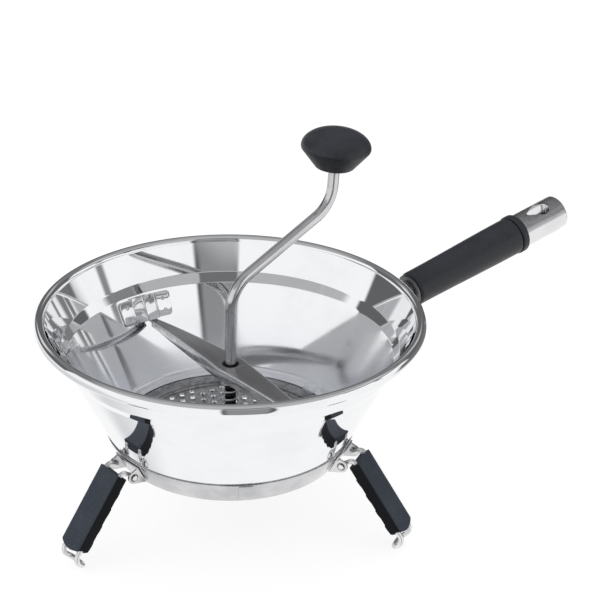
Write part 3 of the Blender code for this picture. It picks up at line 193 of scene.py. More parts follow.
class ShaderNet:
    """The node tree of one material or world."""

    def __init__(self, tree: bpy.types.NodeTree) -> None:
        """Empty a node tree and take it over."""
        self.tree = tree
        self.tree.nodes.clear()

    def node(
        self, kind: str, settings: dict | None = None, inputs: dict | None = None,
    ) -> bpy.types.Node:
        """Make one node.

        Args:
            kind: The node's type.
            settings: Attributes that are set first; colour stops go under "stops".
            inputs: Values, signals or sockets by input name or number.

        Returns:
            The node.
        """
        made = self.tree.nodes.new(kind)
        for key, value in (settings or {}).items():
            if key == "stops":
                while len(made.color_ramp.elements) < len(value):
                    made.color_ramp.elements.new(0.5)
                for element, (position, colour) in zip(made.color_ramp.elements, value):
                    element.position = position
                    element.color = (*colour, 1.0)
            else:
                setattr(made, key, value)
        for key, value in (inputs or {}).items():
            if isinstance(value, Signal):
                value = value.socket
            if isinstance(value, Socket):
                self.tree.links.new(value, made.inputs[key])
            else:
                made.inputs[key].default_value = value
        return made

    def vector(self, operation: str, *terms: object) -> bpy.types.Node:
        """One Vector Math node on sockets or plain vectors."""
        return self.node("ShaderNodeVectorMath", {"operation": operation}, dict(enumerate(terms)))

    def along(self, where: Socket, axis: Sequence[float]) -> Signal:
        """How far a place lies along an axis."""
        return Signal(self, self.vector("DOT_PRODUCT", where, tuple(axis)).outputs["Value"])

    def split(self, socket: Socket) -> tuple[Signal, Signal, Signal]:
        """The three parts of a vector."""
        parts = self.node("ShaderNodeSeparateXYZ", None, {0: socket}).outputs
        x, y, z = (Signal(self, part) for part in parts)
        return x, y, z

    def joined(self, x: Signal | float, y: Signal | float, z: Signal | float) -> Socket:
        """A vector from three parts."""
        return self.node("ShaderNodeCombineXYZ", None, {0: x, 1: y, 2: z}).outputs[0]

    def noise(
        self, where: Socket, scale: float, detail: float = 3.0, rough: float = 0.5,
    ) -> Signal:
        """Noise between about 0.2 and 0.8 at a place."""
        inputs = {"Vector": where, "Scale": scale, "Detail": detail, "Roughness": rough}
        return Signal(self, self.node("ShaderNodeTexNoise", None, inputs).outputs["Fac"])

    def streaks(self, where: Socket, stretch: tuple[float, float, float]) -> Signal:
        """Noise with a scale of its own along each axis."""
        return self.noise(self.vector("MULTIPLY", where, stretch).outputs[0], 1.0, 2.0)

    def mix(self, share: Signal | float, first: object, second: object) -> Socket:
        """Blend of two colours.

        Args:
            share: How much of the second colour there is.
            first: A colour, or a colour socket.
            second: A colour, or a colour socket.

        Returns:
            The blended colour's socket.
        """
        settings = {"data_type": "RGBA"}
        colours = [(*item, 1.0) if isinstance(item, tuple) else item for item in (first, second)]
        inputs = {0: share, 6: colours[0], 7: colours[1]}
        return self.node("ShaderNodeMix", settings, inputs).outputs[2]

    def rays(self) -> tuple[Signal, Signal]:
        """Whether a ray comes from the camera, and whether a mirror has sent it."""
        path = self.node("ShaderNodeLightPath").outputs
        return Signal(self, path["Is Camera Ray"]), Signal(self, path["Is Glossy Ray"])

    def bump(self, height: Signal, distance: float, strength: float = 1.0) -> Socket:
        """Surface normal from a height between 0 and 1 that stands for a distance in metres."""
        inputs = {"Height": height, "Distance": distance, "Strength": strength}
        return self.node("ShaderNodeBump", None, inputs).outputs["Normal"]

    def surface(self, inputs: dict) -> None:
        """Principled shader on the material's output."""
        shader = self.node("ShaderNodeBsdfPrincipled", None, inputs)
        self.node("ShaderNodeOutputMaterial", None, {"Surface": shader.outputs[0]})


def new_net(name: str) -> tuple[bpy.types.Material, ShaderNet]:
    """A new material and its empty shader net."""
    material = bpy.data.materials.new(name)
    material.use_nodes = True
    return material, ShaderNet(material.node_tree)


@dataclass(frozen=True)
class MillFrame:
    """Where the mill's own axes are, in metres in the shared frame."""

    bowl_x: float = -0.0876614
    rim_z: float = 0.1501986
    handle_r: float = 0.1600
    handle_depth: float = 0.0280
    handle_rise: float = math.radians(10.1)
    hinge_r: float = 0.0859229
    hinge_depth: float = 0.0918
    leg_azimuths: tuple[float, float, float] = (math.pi, math.radians(60.0), math.radians(-60.0))

    def rim(self) -> Matrix:
        """Frame on the bowl's axis at the top of the rim."""
        return Matrix.Translation((self.bowl_x, 0.0, self.rim_z))

    def handle(self) -> Matrix:
        """Frame at the grip's inner end, with Z along the handle."""
        start = Matrix.Translation((self.handle_r, 0.0, -self.handle_depth))
        return self.rim() @ start @ Matrix.Rotation(QUARTER - self.handle_rise, 4, "Y")

    def leg(self, index: int) -> Matrix:
        """Frame on a leg's hinge, with X away from the bowl."""
        azimuth = self.leg_azimuths[index]
        hinge = polar(self.hinge_r, azimuth, -self.hinge_depth)
        return self.rim() @ Matrix.Translation(hinge) @ Matrix.Rotation(azimuth, 4, "Z")


MILL = MillFrame()


def cone_r(depth: float, top_r: float = CONE_INNER_R) -> float:
    """Radius of the bowl's cone at a depth below the rim, on its inside unless told otherwise."""
    return top_r - (depth - CONE_TOP) * math.tan(CONE_ANGLE)


def round_bowl(net: ShaderNet, where: Socket) -> tuple[Signal, Signal, Signal, Signal]:
    """A place from the bowl's axis: along X, along Y, its height and its distance."""
    x, y, z = net.split(where)
    across = x - MILL.bowl_x
    return across, y, z, (across * across + y * y).maths("SQRT")


# Finishes


@dataclass(frozen=True)
class Steel:
    """Bare steel sheet, wire or rod with its wheel marks, smudges and stains."""

    tint: Colour
    stain: Colour
    roughness: float
    smudge: float
    lay: Lay
    line_depth: float = 0.000003
    wave_depth: float = 0.0

    def lines(self, net: ShaderNet, where: Socket) -> Signal:
        """Fine lines along the lay.

        Args:
            net: The material's shader net.
            where: The place on the piece.

        Returns:
            The lines' height, 0 to 1.
        """
        if self.lay is Lay.TURNED:
            across, y, z, radius = round_bowl(net, where)
            angle = y.maths("ARCTAN2", across)
            return net.noise(net.joined(radius * 2600.0, angle * 9.0, z * 2600.0), 1.0, 2.0)
        stretch = {
            Lay.ALONG_Y: (3200.0, 40.0, 3200.0),
            Lay.ALONG_HANDLE: (60.0, 2600.0, 2600.0),
            Lay.UPRIGHT: (2600.0, 2600.0, 60.0),
            Lay.CLOUDY: (900.0, 900.0, 900.0),
        }[self.lay]
        return net.streaks(where, stretch)

    def dress(self, net: ShaderNet, where: Socket) -> dict:
        """Sockets of the plain steel.

        Args:
            net: The material's shader net.
            where: The place on the piece.

        Returns:
            Inputs of the Principled shader, by name.
        """
        clouds = net.noise(where, 34.0, 4.0, 0.62).step(0.38, 0.68)
        lines = self.lines(net, where)
        rough = self.roughness + clouds * self.smudge + lines * (self.smudge * 0.5)
        height = lines
        depth = self.line_depth
        if self.wave_depth:
            waves = net.noise(where, 26.0, 1.0)
            height = lines * (self.line_depth / self.wave_depth) + waves
            depth = self.wave_depth
        return {
            "Base Color": net.mix(clouds * 0.55, self.tint, self.stain),
            "Roughness": rough,
            "Metallic": 1.0,
            "Normal": net.bump(height, depth),
        }

    def build(self, name: str) -> bpy.types.Material:
        """The finished material."""
        material, net = new_net(name)
        where = net.node("ShaderNodeTexCoord").outputs["Object"]
        net.surface(self.dress(net, where))
        return material


@dataclass(frozen=True)
class BowlSteel(Steel):
    """Polished bowl: a mirror outside and on the steep wall, a little softer down the cone."""

    soft_top: float = 0.118
    soft_low: float = 0.066
    soft_rough: float = 0.10
    bright_azimuth: float = math.radians(70.0)
    dull_rough: float = 0.13
    veil_top: float = 0.090
    veil: float = 0.32
    low_tint: Colour = (0.80, 0.83, 0.89)
    half_sheet: float = 0.0005

    def dress(self, net: ShaderNet, where: Socket) -> dict:
        """Sockets of the bowl, softer inside the cone and satin on the ledge."""
        inputs = super().dress(net, where)
        across, y, z, radius = round_bowl(net, where)
        steep = 1.0 / math.tan(CONE_ANGLE)
        wall = MILL.rim_z - CONE_TOP - (CONE_OUTER_R - radius - self.half_sheet) * steep
        inside = (z - wall).step(-0.0004, 0.0004)
        low = z.step(self.soft_top, self.soft_low)
        worn = net.noise(where, 16.0, 2.0).step(0.42, 0.60)
        bright = Vector((math.cos(self.bright_azimuth), math.sin(self.bright_azimuth), 0.0))
        facing = (across * bright.x + y * bright.y) / radius
        dull = facing.step(0.75, -0.10)
        satin = z.step(self.soft_top + 0.004, self.soft_top - 0.004) * dull * self.dull_rough
        inputs["Roughness"] = inputs["Roughness"] + inside * (
            low * (worn * self.soft_rough + self.soft_rough * 0.4) + satin)
        veil = inside * (z.step(self.veil_top, self.soft_low) * self.veil).most(satin * 0.8)
        inputs["Metallic"] = 1.0 - veil
        inputs["Base Color"] = net.mix(inside * low * 0.5, inputs["Base Color"], self.low_tint)
        return inputs


@dataclass(frozen=True)
class ClipSteel(Steel):
    """Clip sheet with the round dents of its spot welds; on the leg ears the same dark rings are painted
    shade round the pins.
    """

    spots: tuple[tuple[float, float, float], ...] = ()
    spot_r: float = 0.0011
    spot_width: float = 0.0005
    spot_shade: float = 0.45
    weld_and_pin_shade_tint: Colour = (0.05, 0.05, 0.055)

    def dress(self, net: ShaderNet, where: Socket) -> dict:
        """Sockets with dark rings: weld dents on the clips, painted shade round the pins on the ears."""
        inputs = super().dress(net, where)
        weld_dent_and_pin_shade: Signal | None = None
        for spot in self.spots:
            reach = Signal(net, net.vector("DISTANCE", where, spot).outputs["Value"])
            ring = 1.0 - abs(reach - self.spot_r).step(0.0, self.spot_width)
            weld_dent_and_pin_shade = ring if weld_dent_and_pin_shade is None else weld_dent_and_pin_shade.most(ring)
        if weld_dent_and_pin_shade is not None:
            # On the leg ears these dark rings are painted shade round the pins' holes.
            inputs["Base Color"] = net.mix(weld_dent_and_pin_shade * self.spot_shade, inputs["Base Color"], self.weld_and_pin_shade_tint)
            inputs["Normal"] = net.bump(1.0 - weld_dent_and_pin_shade, 0.0001)
        return inputs


@dataclass(frozen=True)
class BarSteel(Steel):
    """Crossbar sheet: dull on top, with painted highlights along its two folds and painted light on its
    flanks.
    """

    half_width: float = 0.0109
    end_half_width: float = 0.0034
    reach: float = 0.0919
    depth: float = 0.0390
    sag: float = 0.0045
    fold_highlight_width: float = 0.0014

    def dress(self, net: ShaderNet, where: Socket) -> dict:
        """Sockets of the bar with painted highlights along its folds and painted light on its flanks."""
        inputs = super().dress(net, where)
        x, y, z = net.split(where)
        share = (abs(y) / self.reach).least(1.0)
        half = self.half_width - share * (self.half_width - self.end_half_width)
        top = MILL.rim_z - self.depth - share * share * self.sag
        drop = top - z
        streaks = net.streaks(where, (1500.0, 9.0, 1500.0)).step(0.35, 0.7)
        # Painted light: the flanks are painted lighter, in streaks.
        flank = drop.step(0.0012, 0.0016)
        # Painted highlight along both folds of the top.
        near = (abs(x - MILL.bowl_x) - half).step(-self.fold_highlight_width, -self.fold_highlight_width * 0.6)
        edge = near * drop.step(0.0014, 0.0008)
        colour = net.mix(streaks * 0.35, inputs["Base Color"], (0.62, 0.62, 0.63))
        colour = net.mix(flank, colour, net.mix(streaks, (0.50, 0.50, 0.51), (0.86, 0.86, 0.87)))
        inputs["Base Color"] = net.mix(edge, colour, (0.95, 0.95, 0.96))
        inputs["Roughness"] = inputs["Roughness"] - (edge * 0.10).most(flank * 0.16)
        return inputs


@dataclass(frozen=True)
class DiscSteel(Steel):
    """Sieve disc sheet with rubbing marks of the blade, painted shade at its outer edge and a painted dark
    line at its inner bend.
    """

    edge_shade_r: float = 0.0737
    dish_r: float = 0.0651

    def dress(self, net: ShaderNet, where: Socket) -> dict:
        """Sockets of the disc with darker stains between its holes, and its painted shade."""
        inputs = super().dress(net, where)
        radius = round_bowl(net, where)[-1]
        spots = net.noise(where, 260.0, 2.0).step(0.46, 0.62)
        colour = net.mix(spots * 0.45, inputs["Base Color"], (0.16, 0.16, 0.17))
        # Painted shade: a dark line where the rim slopes down to the flat, and a dark outer edge beside the
        # ledge.
        bend_line_shade = 1.0 - abs(radius - self.dish_r).step(0.0, 0.0009)
        edge_and_bend_shade = radius.step(self.edge_shade_r - 0.0004, self.edge_shade_r).most(bend_line_shade * 0.5)
        inputs["Base Color"] = net.mix(edge_and_bend_shade, colour, (0.02, 0.02, 0.022))
        return inputs


@dataclass(frozen=True)
class RodSteel(Steel):
    """Crank rod, with painted shade where the spring turns round it."""

    low: float = 0.0735
    high: float = 0.1085

    def dress(self, net: ShaderNet, where: Socket) -> dict:
        """Sockets of the rod with painted shade inside the spring."""
        inputs = super().dress(net, where)
        _, _, z = net.split(where)
        # Painted shade on the stretch of rod inside the spring.
        inner = z.step(self.low - 0.001, self.low) * z.step(self.high, self.high - 0.001)
        inputs["Base Color"] = net.mix(inner, inputs["Base Color"], (0.035, 0.035, 0.038))
        return inputs


@dataclass(frozen=True)
class TubeSteel(Steel):
    """End tube of the handle: darker grey along its top, with brush lines, bright below."""

    brush_low: float = 0.0034
    brush_high: float = 0.0050
    top_tint: Colour = (0.36, 0.36, 0.37)

    def dress(self, net: ShaderNet, where: Socket) -> dict:
        """Sockets of the tube, darker grey along its top."""
        inputs = super().dress(net, where)
        down = MILL.handle().inverted()[0]
        drop = net.along(where, down[:3]) + down[3]
        upper = drop.step(-self.brush_low, -self.brush_high)
        streaks = self.lines(net, where).step(0.3, 0.7)
        darker_top = upper * (1.0 - streaks * 0.35)
        inputs["Base Color"] = net.mix(darker_top, inputs["Base Color"], self.top_tint)
        inputs["Roughness"] = inputs["Roughness"] + upper * 0.10
        return inputs


@dataclass(frozen=True)
class Moulding:
    """Moulded plastic or silicone with a fine skin and soft mottling."""

    tint: Colour
    sheen_tint: Colour
    roughness: float
    grain: float
    grain_depth: float
    dust: float
    sheen: float
    seam: bool = False

    def shaded(self, net: ShaderNet, where: Socket, colour: Socket) -> Socket:
        """The colour with the moulding's painted shade; a plain moulding has none."""
        return colour

    def build(self, name: str) -> bpy.types.Material:
        """The finished material, with the handle's parting line where it has one."""
        material, net = new_net(name)
        where = net.node("ShaderNodeTexCoord").outputs["Object"]
        skin = net.noise(where, self.grain, 2.0, 0.6)
        clouds = net.noise(where, 60.0, 3.0).step(0.35, 0.70)
        dust = net.noise(where, 900.0, 1.0).step(0.52, 0.72)
        colour = net.mix(clouds * 0.8, self.tint, self.sheen_tint)
        colour = self.shaded(net, where, net.mix(dust * self.dust, colour, (0.30, 0.31, 0.33)))
        height = skin
        rough = self.roughness + clouds * 0.08 + skin * 0.06
        if self.seam:
            axis = Vector(MILL.handle().inverted()[0][:3])
            offset = net.along(where, axis) - axis.dot(MILL.handle().translation)
            _, y, _ = net.split(where)
            side = (y + 0.006).step(0.0, -0.001)
            line = (1.0 - abs(offset - 0.0052).step(0.00010, 0.00034)) * side
            height = skin * 0.1 - line
            colour = net.mix(line * 0.7, colour, (0.006, 0.006, 0.008))
        depth = 0.00030 if self.seam else self.grain_depth
        net.surface({
            "Base Color": colour, "Roughness": rough, "Metallic": 0.0,
            "Specular IOR Level": self.sheen, "Normal": net.bump(height, depth),
        })
        return material


@dataclass(frozen=True)
class SleeveSkin(Moulding):
    """Silicone of the leg sleeves, with painted shade down their narrow sides."""

    flank: float = 0.0106
    side_shade_tint: Colour = (0.016, 0.017, 0.020)

    def shaded(self, net: ShaderNet, where: Socket, colour: Socket) -> Socket:
        """The colour, with painted shade on both narrow sides of each sleeve.

        Args:
            net: The material's shader net.
            where: The place on the piece.
            colour: The sleeve's plain colour.

        Returns:
            The shaded colour.
        """
        for index in range(3):
            turn = MILL.leg(index).inverted()
            out, side = (net.along(where, row[:3]) + row[3] for row in (turn[0], turn[1]))
            edge = abs(side).step(self.flank - 0.0008, self.flank) * abs(side).step(0.016, 0.015)
            # Painted shade: near-black on the narrow sides.
            colour = net.mix(edge * out.step(0.0, 0.001), colour, self.side_shade_tint)
        return colour


class Finish(Enum):
    """The mill's finishes: a name for the material and the record's slot that it stands for."""

    BOWL = ("bowl_polish", "polished_steel")
    ROD = ("rod_polish", "polished_steel")
    RING = ("ring_steel", "satin_steel")
    TUBE = ("tube_polish", "polished_steel")
    CLIP = ("clip_polish", "polished_steel")
    SPRING = ("spring_wire", "polished_steel")
    BAND = ("band_satin", "satin_steel")
    DISC = ("disc_satin", "satin_steel")
    BLADE = ("blade_satin", "satin_steel")
    WIRE = ("leg_wire_satin", "satin_steel")
    BRACKET = ("bracket_satin", "satin_steel")
    BAR = ("bar_steel", "dark_steel")
    BUSH = ("bush_plastic", "bush_black")
    KNOB = ("knob_plastic", "charcoal_plastic")
    GRIP = ("grip_plastic", "charcoal_plastic")
    SLEEVE = ("sleeve_silicone", "slate_silicone")

    @property
    def material_name(self) -> str:
        """Name of the material."""
        return self.value[0]

    @property
    def slot(self) -> str:
        """Name of the record's material slot."""
        return self.value[1]


def weld_spots() -> tuple[tuple[float, float, float], ...]:
    """Places of the clips' spot welds on the cone, four to a clip."""
    spots = []
    for sign, side, depth in product((1.0, -1.0), (-1.0, 1.0), WELD_DEPTHS):
        radius = cone_r(depth) - WELD_STAND
        angle = QUARTER * sign + side * WELD_SIDE / radius
        x, y = radius * math.cos(angle), radius * math.sin(angle)
        spots.append((MILL.bowl_x + x, y, MILL.rim_z - depth))
    return tuple(spots)


def pin_ends() -> tuple[tuple[float, float, float], ...]:
    """Places where the legs' pins come out of their ears."""
    places = [Vector((0.0, side * PIN_END, 0.0)) for side in (-1.0, 1.0)]
    return tuple(tuple(MILL.leg(index) @ place) for index in range(3) for place in places)


def all_finishes() -> dict[Finish, Steel | Moulding]:
    """Every finish of the mill with its colours and roughness."""
    bright = (0.90, 0.905, 0.915)
    grey = (0.70, 0.705, 0.72)
    return {
        Finish.BOWL: BowlSteel(bright, (0.84, 0.845, 0.86), 0.018, 0.02, Lay.TURNED, 0.0000004, 0.00001),
        Finish.ROD: RodSteel((0.66, 0.66, 0.67), (0.50, 0.50, 0.51), 0.13, 0.05, Lay.UPRIGHT, 0.0000015),
        Finish.RING: Steel((0.16, 0.16, 0.165), (0.10, 0.10, 0.105), 0.25, 0.08, Lay.CLOUDY, 0.000003),
        Finish.TUBE: TubeSteel(
            (0.80, 0.80, 0.81), (0.72, 0.72, 0.73), 0.14, 0.05, Lay.ALONG_HANDLE, 0.000003),
        Finish.CLIP: ClipSteel(
            bright, (0.72, 0.72, 0.73), 0.03, 0.04, Lay.CLOUDY, 0.000002, spots=weld_spots()),
        Finish.SPRING: Steel((0.74, 0.74, 0.75), (0.40, 0.40, 0.41), 0.12, 0.06, Lay.CLOUDY, 0.000002),
        Finish.BAND: Steel((0.64, 0.64, 0.65), (0.40, 0.405, 0.42), 0.20, 0.09, Lay.TURNED, 0.000004),
        Finish.DISC: DiscSteel((0.52, 0.52, 0.53), (0.34, 0.34, 0.35), 0.22, 0.10, Lay.CLOUDY, 0.000004),
        Finish.BLADE: Steel(grey, (0.52, 0.52, 0.53), 0.20, 0.08, Lay.TURNED, 0.000004),
        Finish.WIRE: Steel((0.84, 0.84, 0.84), (0.66, 0.66, 0.66), 0.30, 0.10, Lay.CLOUDY, 0.000006),
        # Dark rings round the pin ends: painted shade of the pins' holes in the ears.
        Finish.BRACKET: ClipSteel(
            (0.70, 0.70, 0.71), (0.42, 0.42, 0.43), 0.16, 0.10, Lay.CLOUDY, 0.000005,
            spots=pin_ends(), spot_r=0.0024, spot_width=0.0009, spot_shade=0.9),
        Finish.BAR: BarSteel((0.42, 0.42, 0.425), (0.34, 0.34, 0.345), 0.30, 0.06, Lay.ALONG_Y, 0.000006),
        Finish.BUSH: Moulding((0.012, 0.012, 0.013), (0.02, 0.02, 0.022), 0.5, 1500.0, 0.00001, 0.0, 0.3),
        Finish.KNOB: Moulding(
            (0.020, 0.021, 0.027), (0.028, 0.030, 0.040), 0.38, 1800.0, 0.000012, 0.04, 0.45),
        Finish.GRIP: Moulding(
            (0.018, 0.019, 0.024), (0.026, 0.028, 0.037), 0.36, 1800.0, 0.000012, 0.03, 0.45, True),
        Finish.SLEEVE: SleeveSkin(
            (0.060, 0.069, 0.088), (0.074, 0.083, 0.103), 0.62, 1300.0, 0.000018, 0.10, 0.15),
    }


# Mesh helpers


def polar(radius: float, angle: float, height: float) -> Vector:
    """Point at a radius and an angle round Z."""
    return Vector((radius * math.cos(angle), radius * math.sin(angle), height))


def rounded(corners: Sequence[tuple[Vector, float]], step: float) -> list[Vector]:
    """Straight runs with rounded corners.

    Args:
        corners: Each corner's place and radius; the first and last keep their place.
        step: Largest turn between two points of a corner, in radians.

    Returns:
        The points of the path.
    """
    points = [corners[0][0].copy()]
    for (before, _), (corner, radius), (after, _) in zip(corners, corners[1:], corners[2:]):
        back = (before - corner).normalized()
        ahead = (after - corner).normalized()
        half = back.angle(ahead) / 2
        if radius == 0.0 or half > math.radians(89.9):
            points.append(corner.copy())
            continue
        centre = corner + (back + ahead).normalized() * (radius / math.sin(half))
        first = (corner + back * (radius / math.tan(half)) - centre).normalized()
        last = (corner + ahead * (radius / math.tan(half)) - centre).normalized()
        count = max(2, math.ceil((math.pi - 2 * half) / step))
        points += [centre + first.slerp(last, index / count) * radius for index in range(count + 1)]
    points.append(corners[-1][0].copy())
    return points


def rounded_profile(corners: Corners, step: float = math.radians(9.0)) -> Profile:
    """Profile with rounded corners, from (radius, height, corner radius) entries."""
    path = rounded([(Vector((place, 0.0, height)), bend) for place, height, bend in corners], step)
    return [(point.x, point.z) for point in path]


def looped(corners: Corners, step: float = math.radians(9.0)) -> Profile:
    """Closed profile with rounded corners, which starts at its first corner and doesn't repeat it."""
    return rounded_profile([*corners, corners[0]], step)[:-1]


def held(profile: Profile, margin: float) -> Profile:
    """Profile with two more points near the ends of each long straight run, so that it shades flat.

    Args:
        profile: Radius and height of each point.
        margin: Distance of the new points from the run's ends; runs shorter than six of it
            stay as they are.

    Returns:
        The fuller profile.
    """
    fuller: Profile = [profile[0]]
    for before, after in zip(profile, profile[1:]):
        start, end = Vector(before), Vector(after)
        run = end - start
        if run.length > 6 * margin:
            for point in (start + run.normalized() * margin, end - run.normalized() * margin):
                fuller.append((point.x, point.y))
        fuller.append(after)
    return fuller


def ellipse(
    centre: tuple[float, float], radii: tuple[float, float], start: float, end: float, count: int,
) -> Profile:
    """Points of an elliptic arc, both ends included; the angles are in degrees."""
    angles = [math.radians(start + (end - start) * index / count) for index in range(count + 1)]
    return [(centre[0] + radii[0] * math.cos(a), centre[1] + radii[1] * math.sin(a)) for a in angles]


def turned(profile: Profile, steps: int = FINE_TURN, closed: bool = True) -> BMesh:
    """Profile spun about Z.

    Args:
        profile: Radius and height of each point.
        steps: Number of facets round the axis.
        closed: Whether the last point joins the first.

    Returns:
        The turned shape with its doubles merged and its normals out.
    """
    bm = bmesh.new()
    verts = [bm.verts.new((radius, 0.0, height)) for radius, height in profile]
    edges = [bm.edges.new(pair) for pair in zip(verts, verts[1:])]
    if closed:
        edges.append(bm.edges.new((verts[-1], verts[0])))
    bmesh.ops.spin(
        bm, geom=verts + edges, cent=(0.0, 0.0, 0.0), axis=(0.0, 0.0, 1.0), dvec=(0.0, 0.0, 0.0),
        angle=math.tau, steps=steps, use_merge=True,
    )
    bmesh.ops.remove_doubles(bm, verts=bm.verts, dist=0.000002)
    bmesh.ops.recalc_face_normals(bm, faces=bm.faces)
    return bm


def verts_of(geom: Iterable[object]) -> list[Vert]:
    """The vertices among what an operator has made."""
    return [item for item in geom if isinstance(item, Vert)]


def extruded(bm: BMesh, row: Sequence[Edge]) -> tuple[list[Vert], list[Edge]]:
    """Extrude a row of edges; the new vertices, and the edges between them."""
    made = bmesh.ops.extrude_edge_only(bm, edges=row)["geom"]
    verts = verts_of(made)
    known = set(verts)
    return verts, [item for item in made if isinstance(item, Edge) and known.issuperset(item.verts)]


def drill(radius: float, low: float, high: float, sides: int) -> BMesh:
    """Guide solid of a round hole."""
    return turned([(0.0, high), (radius, high), (radius, low), (0.0, low)], sides, closed=False)


def orient(bm: BMesh, measure: Callable[[Face], float]) -> None:
    """Turn an open sheet round where its faces, taken together, measure below zero."""
    bm.normal_update()
    if sum(measure(face) for face in bm.faces) < 0.0:
        bmesh.ops.reverse_faces(bm, faces=bm.faces)


def swept(path: Sequence[Vector], radius: float, sides: int = 20) -> BMesh:
    """Round rod along a path, with flat ends.

    Args:
        path: Points of the rod's middle line.
        radius: The rod's radius.
        sides: Number of facets round the rod.

    Returns:
        The closed rod.
    """
    bm = bmesh.new()
    bmesh.ops.create_circle(bm, cap_ends=False, segments=sides, radius=radius)
    ring = list(bm.edges)
    turn = Vector((0.0, 0.0, 1.0)).rotation_difference(path[1] - path[0])
    place = Matrix.Translation(path[0]) @ turn.to_matrix().to_4x4()
    bmesh.ops.transform(bm, matrix=place, verts=bm.verts)
    ends = [ring]
    heading = (path[1] - path[0]).normalized()
    for index in range(1, len(path)):
        ahead = path[min(index + 1, len(path) - 1)] - path[index - 1]
        if index == len(path) - 1:
            ahead = path[index] - path[index - 1]
        ahead = ahead.normalized()
        turn = heading.rotation_difference(ahead) @ turn
        fresh = Matrix.Translation(path[index]) @ turn.to_matrix().to_4x4()
        verts, ring = extruded(bm, ring)
        bmesh.ops.transform(bm, matrix=fresh @ place.inverted(), verts=verts)
        place = fresh
        heading = ahead
    ends.append(ring)
    for edges in ends:
        bmesh.ops.contextual_create(bm, geom=edges)
    bmesh.ops.recalc_face_normals(bm, faces=bm.faces)
    return bm


def slab(outline: Sequence[tuple[float, float]], thickness: float) -> BMesh:
    """Flat plate from an outline in the XY plane, centred on that plane."""
    bm = bmesh.new()
    face = bm.faces.new([bm.verts.new((x, y, -thickness / 2)) for x, y in outline])
    made = bmesh.ops.extrude_face_region(bm, geom=[face])["geom"]
    bmesh.ops.translate(bm, verts=verts_of(made), vec=(0.0, 0.0, thickness))
    bmesh.ops.recalc_face_normals(bm, faces=bm.faces)
    return bm


def upright(bm: BMesh) -> BMesh:
    """A slab turned about X, so that the second axis of its outline points up."""
    bmesh.ops.rotate(bm, verts=bm.verts, cent=(0.0, 0.0, 0.0), matrix=Matrix.Rotation(QUARTER, 3, "X"))
    return bm


def sheet_rows(rows: Sequence[Sequence[Vector]]) -> BMesh:
    """Open sheet lofted through rows of points, by extruding the first row's edges."""
    bm = bmesh.new()
    verts = [bm.verts.new(point) for point in rows[0]]
    ring = [bm.edges.new(pair) for pair in zip(verts, verts[1:])]
    for before, row in zip(rows, rows[1:]):
        fresh, ring = extruded(bm, ring)
        for vert in fresh:
            near = min(range(len(before)), key=lambda index: (before[index] - vert.co).length_squared)
            vert.co = row[near]
    return bm


def soften(bm: BMesh, edges: Iterable[Edge], offset: float, segments: int) -> None:
    """Round the given edges."""
    bmesh.ops.bevel(
        bm, geom=list(edges), offset=offset, offset_type="OFFSET", segments=segments, profile=0.5,
        affect="EDGES", clamp_overlap=True, material=-1, loop_slide=True,
    )


def add_modifier(piece: bpy.types.Object, kind: str, **settings: object) -> bpy.types.Modifier:
    """A modifier with its settings."""
    modifier = piece.modifiers.new(kind.lower(), kind)
    for key, value in settings.items():
        setattr(modifier, key, value)
    return modifier


def thicken(piece: bpy.types.Object, sheet: float, offset: float = -1.0) -> None:
    """Give an open sheet its thickness; all of it goes behind the surface at offset -1."""
    add_modifier(piece, "SOLIDIFY", thickness=sheet, offset=offset, use_even_offset=True)


def ease(piece: bpy.types.Object, width: float, segments: int = 2, angle: float = SHARP) -> None:
    """Round a piece's edges that turn by more than an angle."""
    add_modifier(
        piece, "BEVEL", width=width, segments=segments, limit_method="ANGLE", angle_limit=angle)


def linked(name: str, data: bpy.types.ID) -> bpy.types.Object:
    """A new object in the scene."""
    made = bpy.data.objects.new(name, data)
    bpy.context.scene.collection.objects.link(made)
    return made


def drawn(name: str, bm: BMesh) -> bpy.types.Object:
    """A new object from a shape, which is freed."""
    mesh = bpy.data.meshes.new(name)
    bm.to_mesh(mesh)
    bm.free()
    return linked(name, mesh)


def settle(piece: bpy.types.Object) -> None:
    """Bake a piece's modifiers into its mesh and shade it smooth between its sharp edges."""
    bpy.context.view_layer.update()
    graph = bpy.context.evaluated_depsgraph_get()
    mesh = bpy.data.meshes.new_from_object(piece.evaluated_get(graph))
    old = piece.data
    piece.modifiers.clear()
    piece.data = mesh
    bpy.data.meshes.remove(old)
    mesh.name = piece.name
    mesh.shade_smooth()
    mesh.set_sharp_from_angle(angle=SHARP)


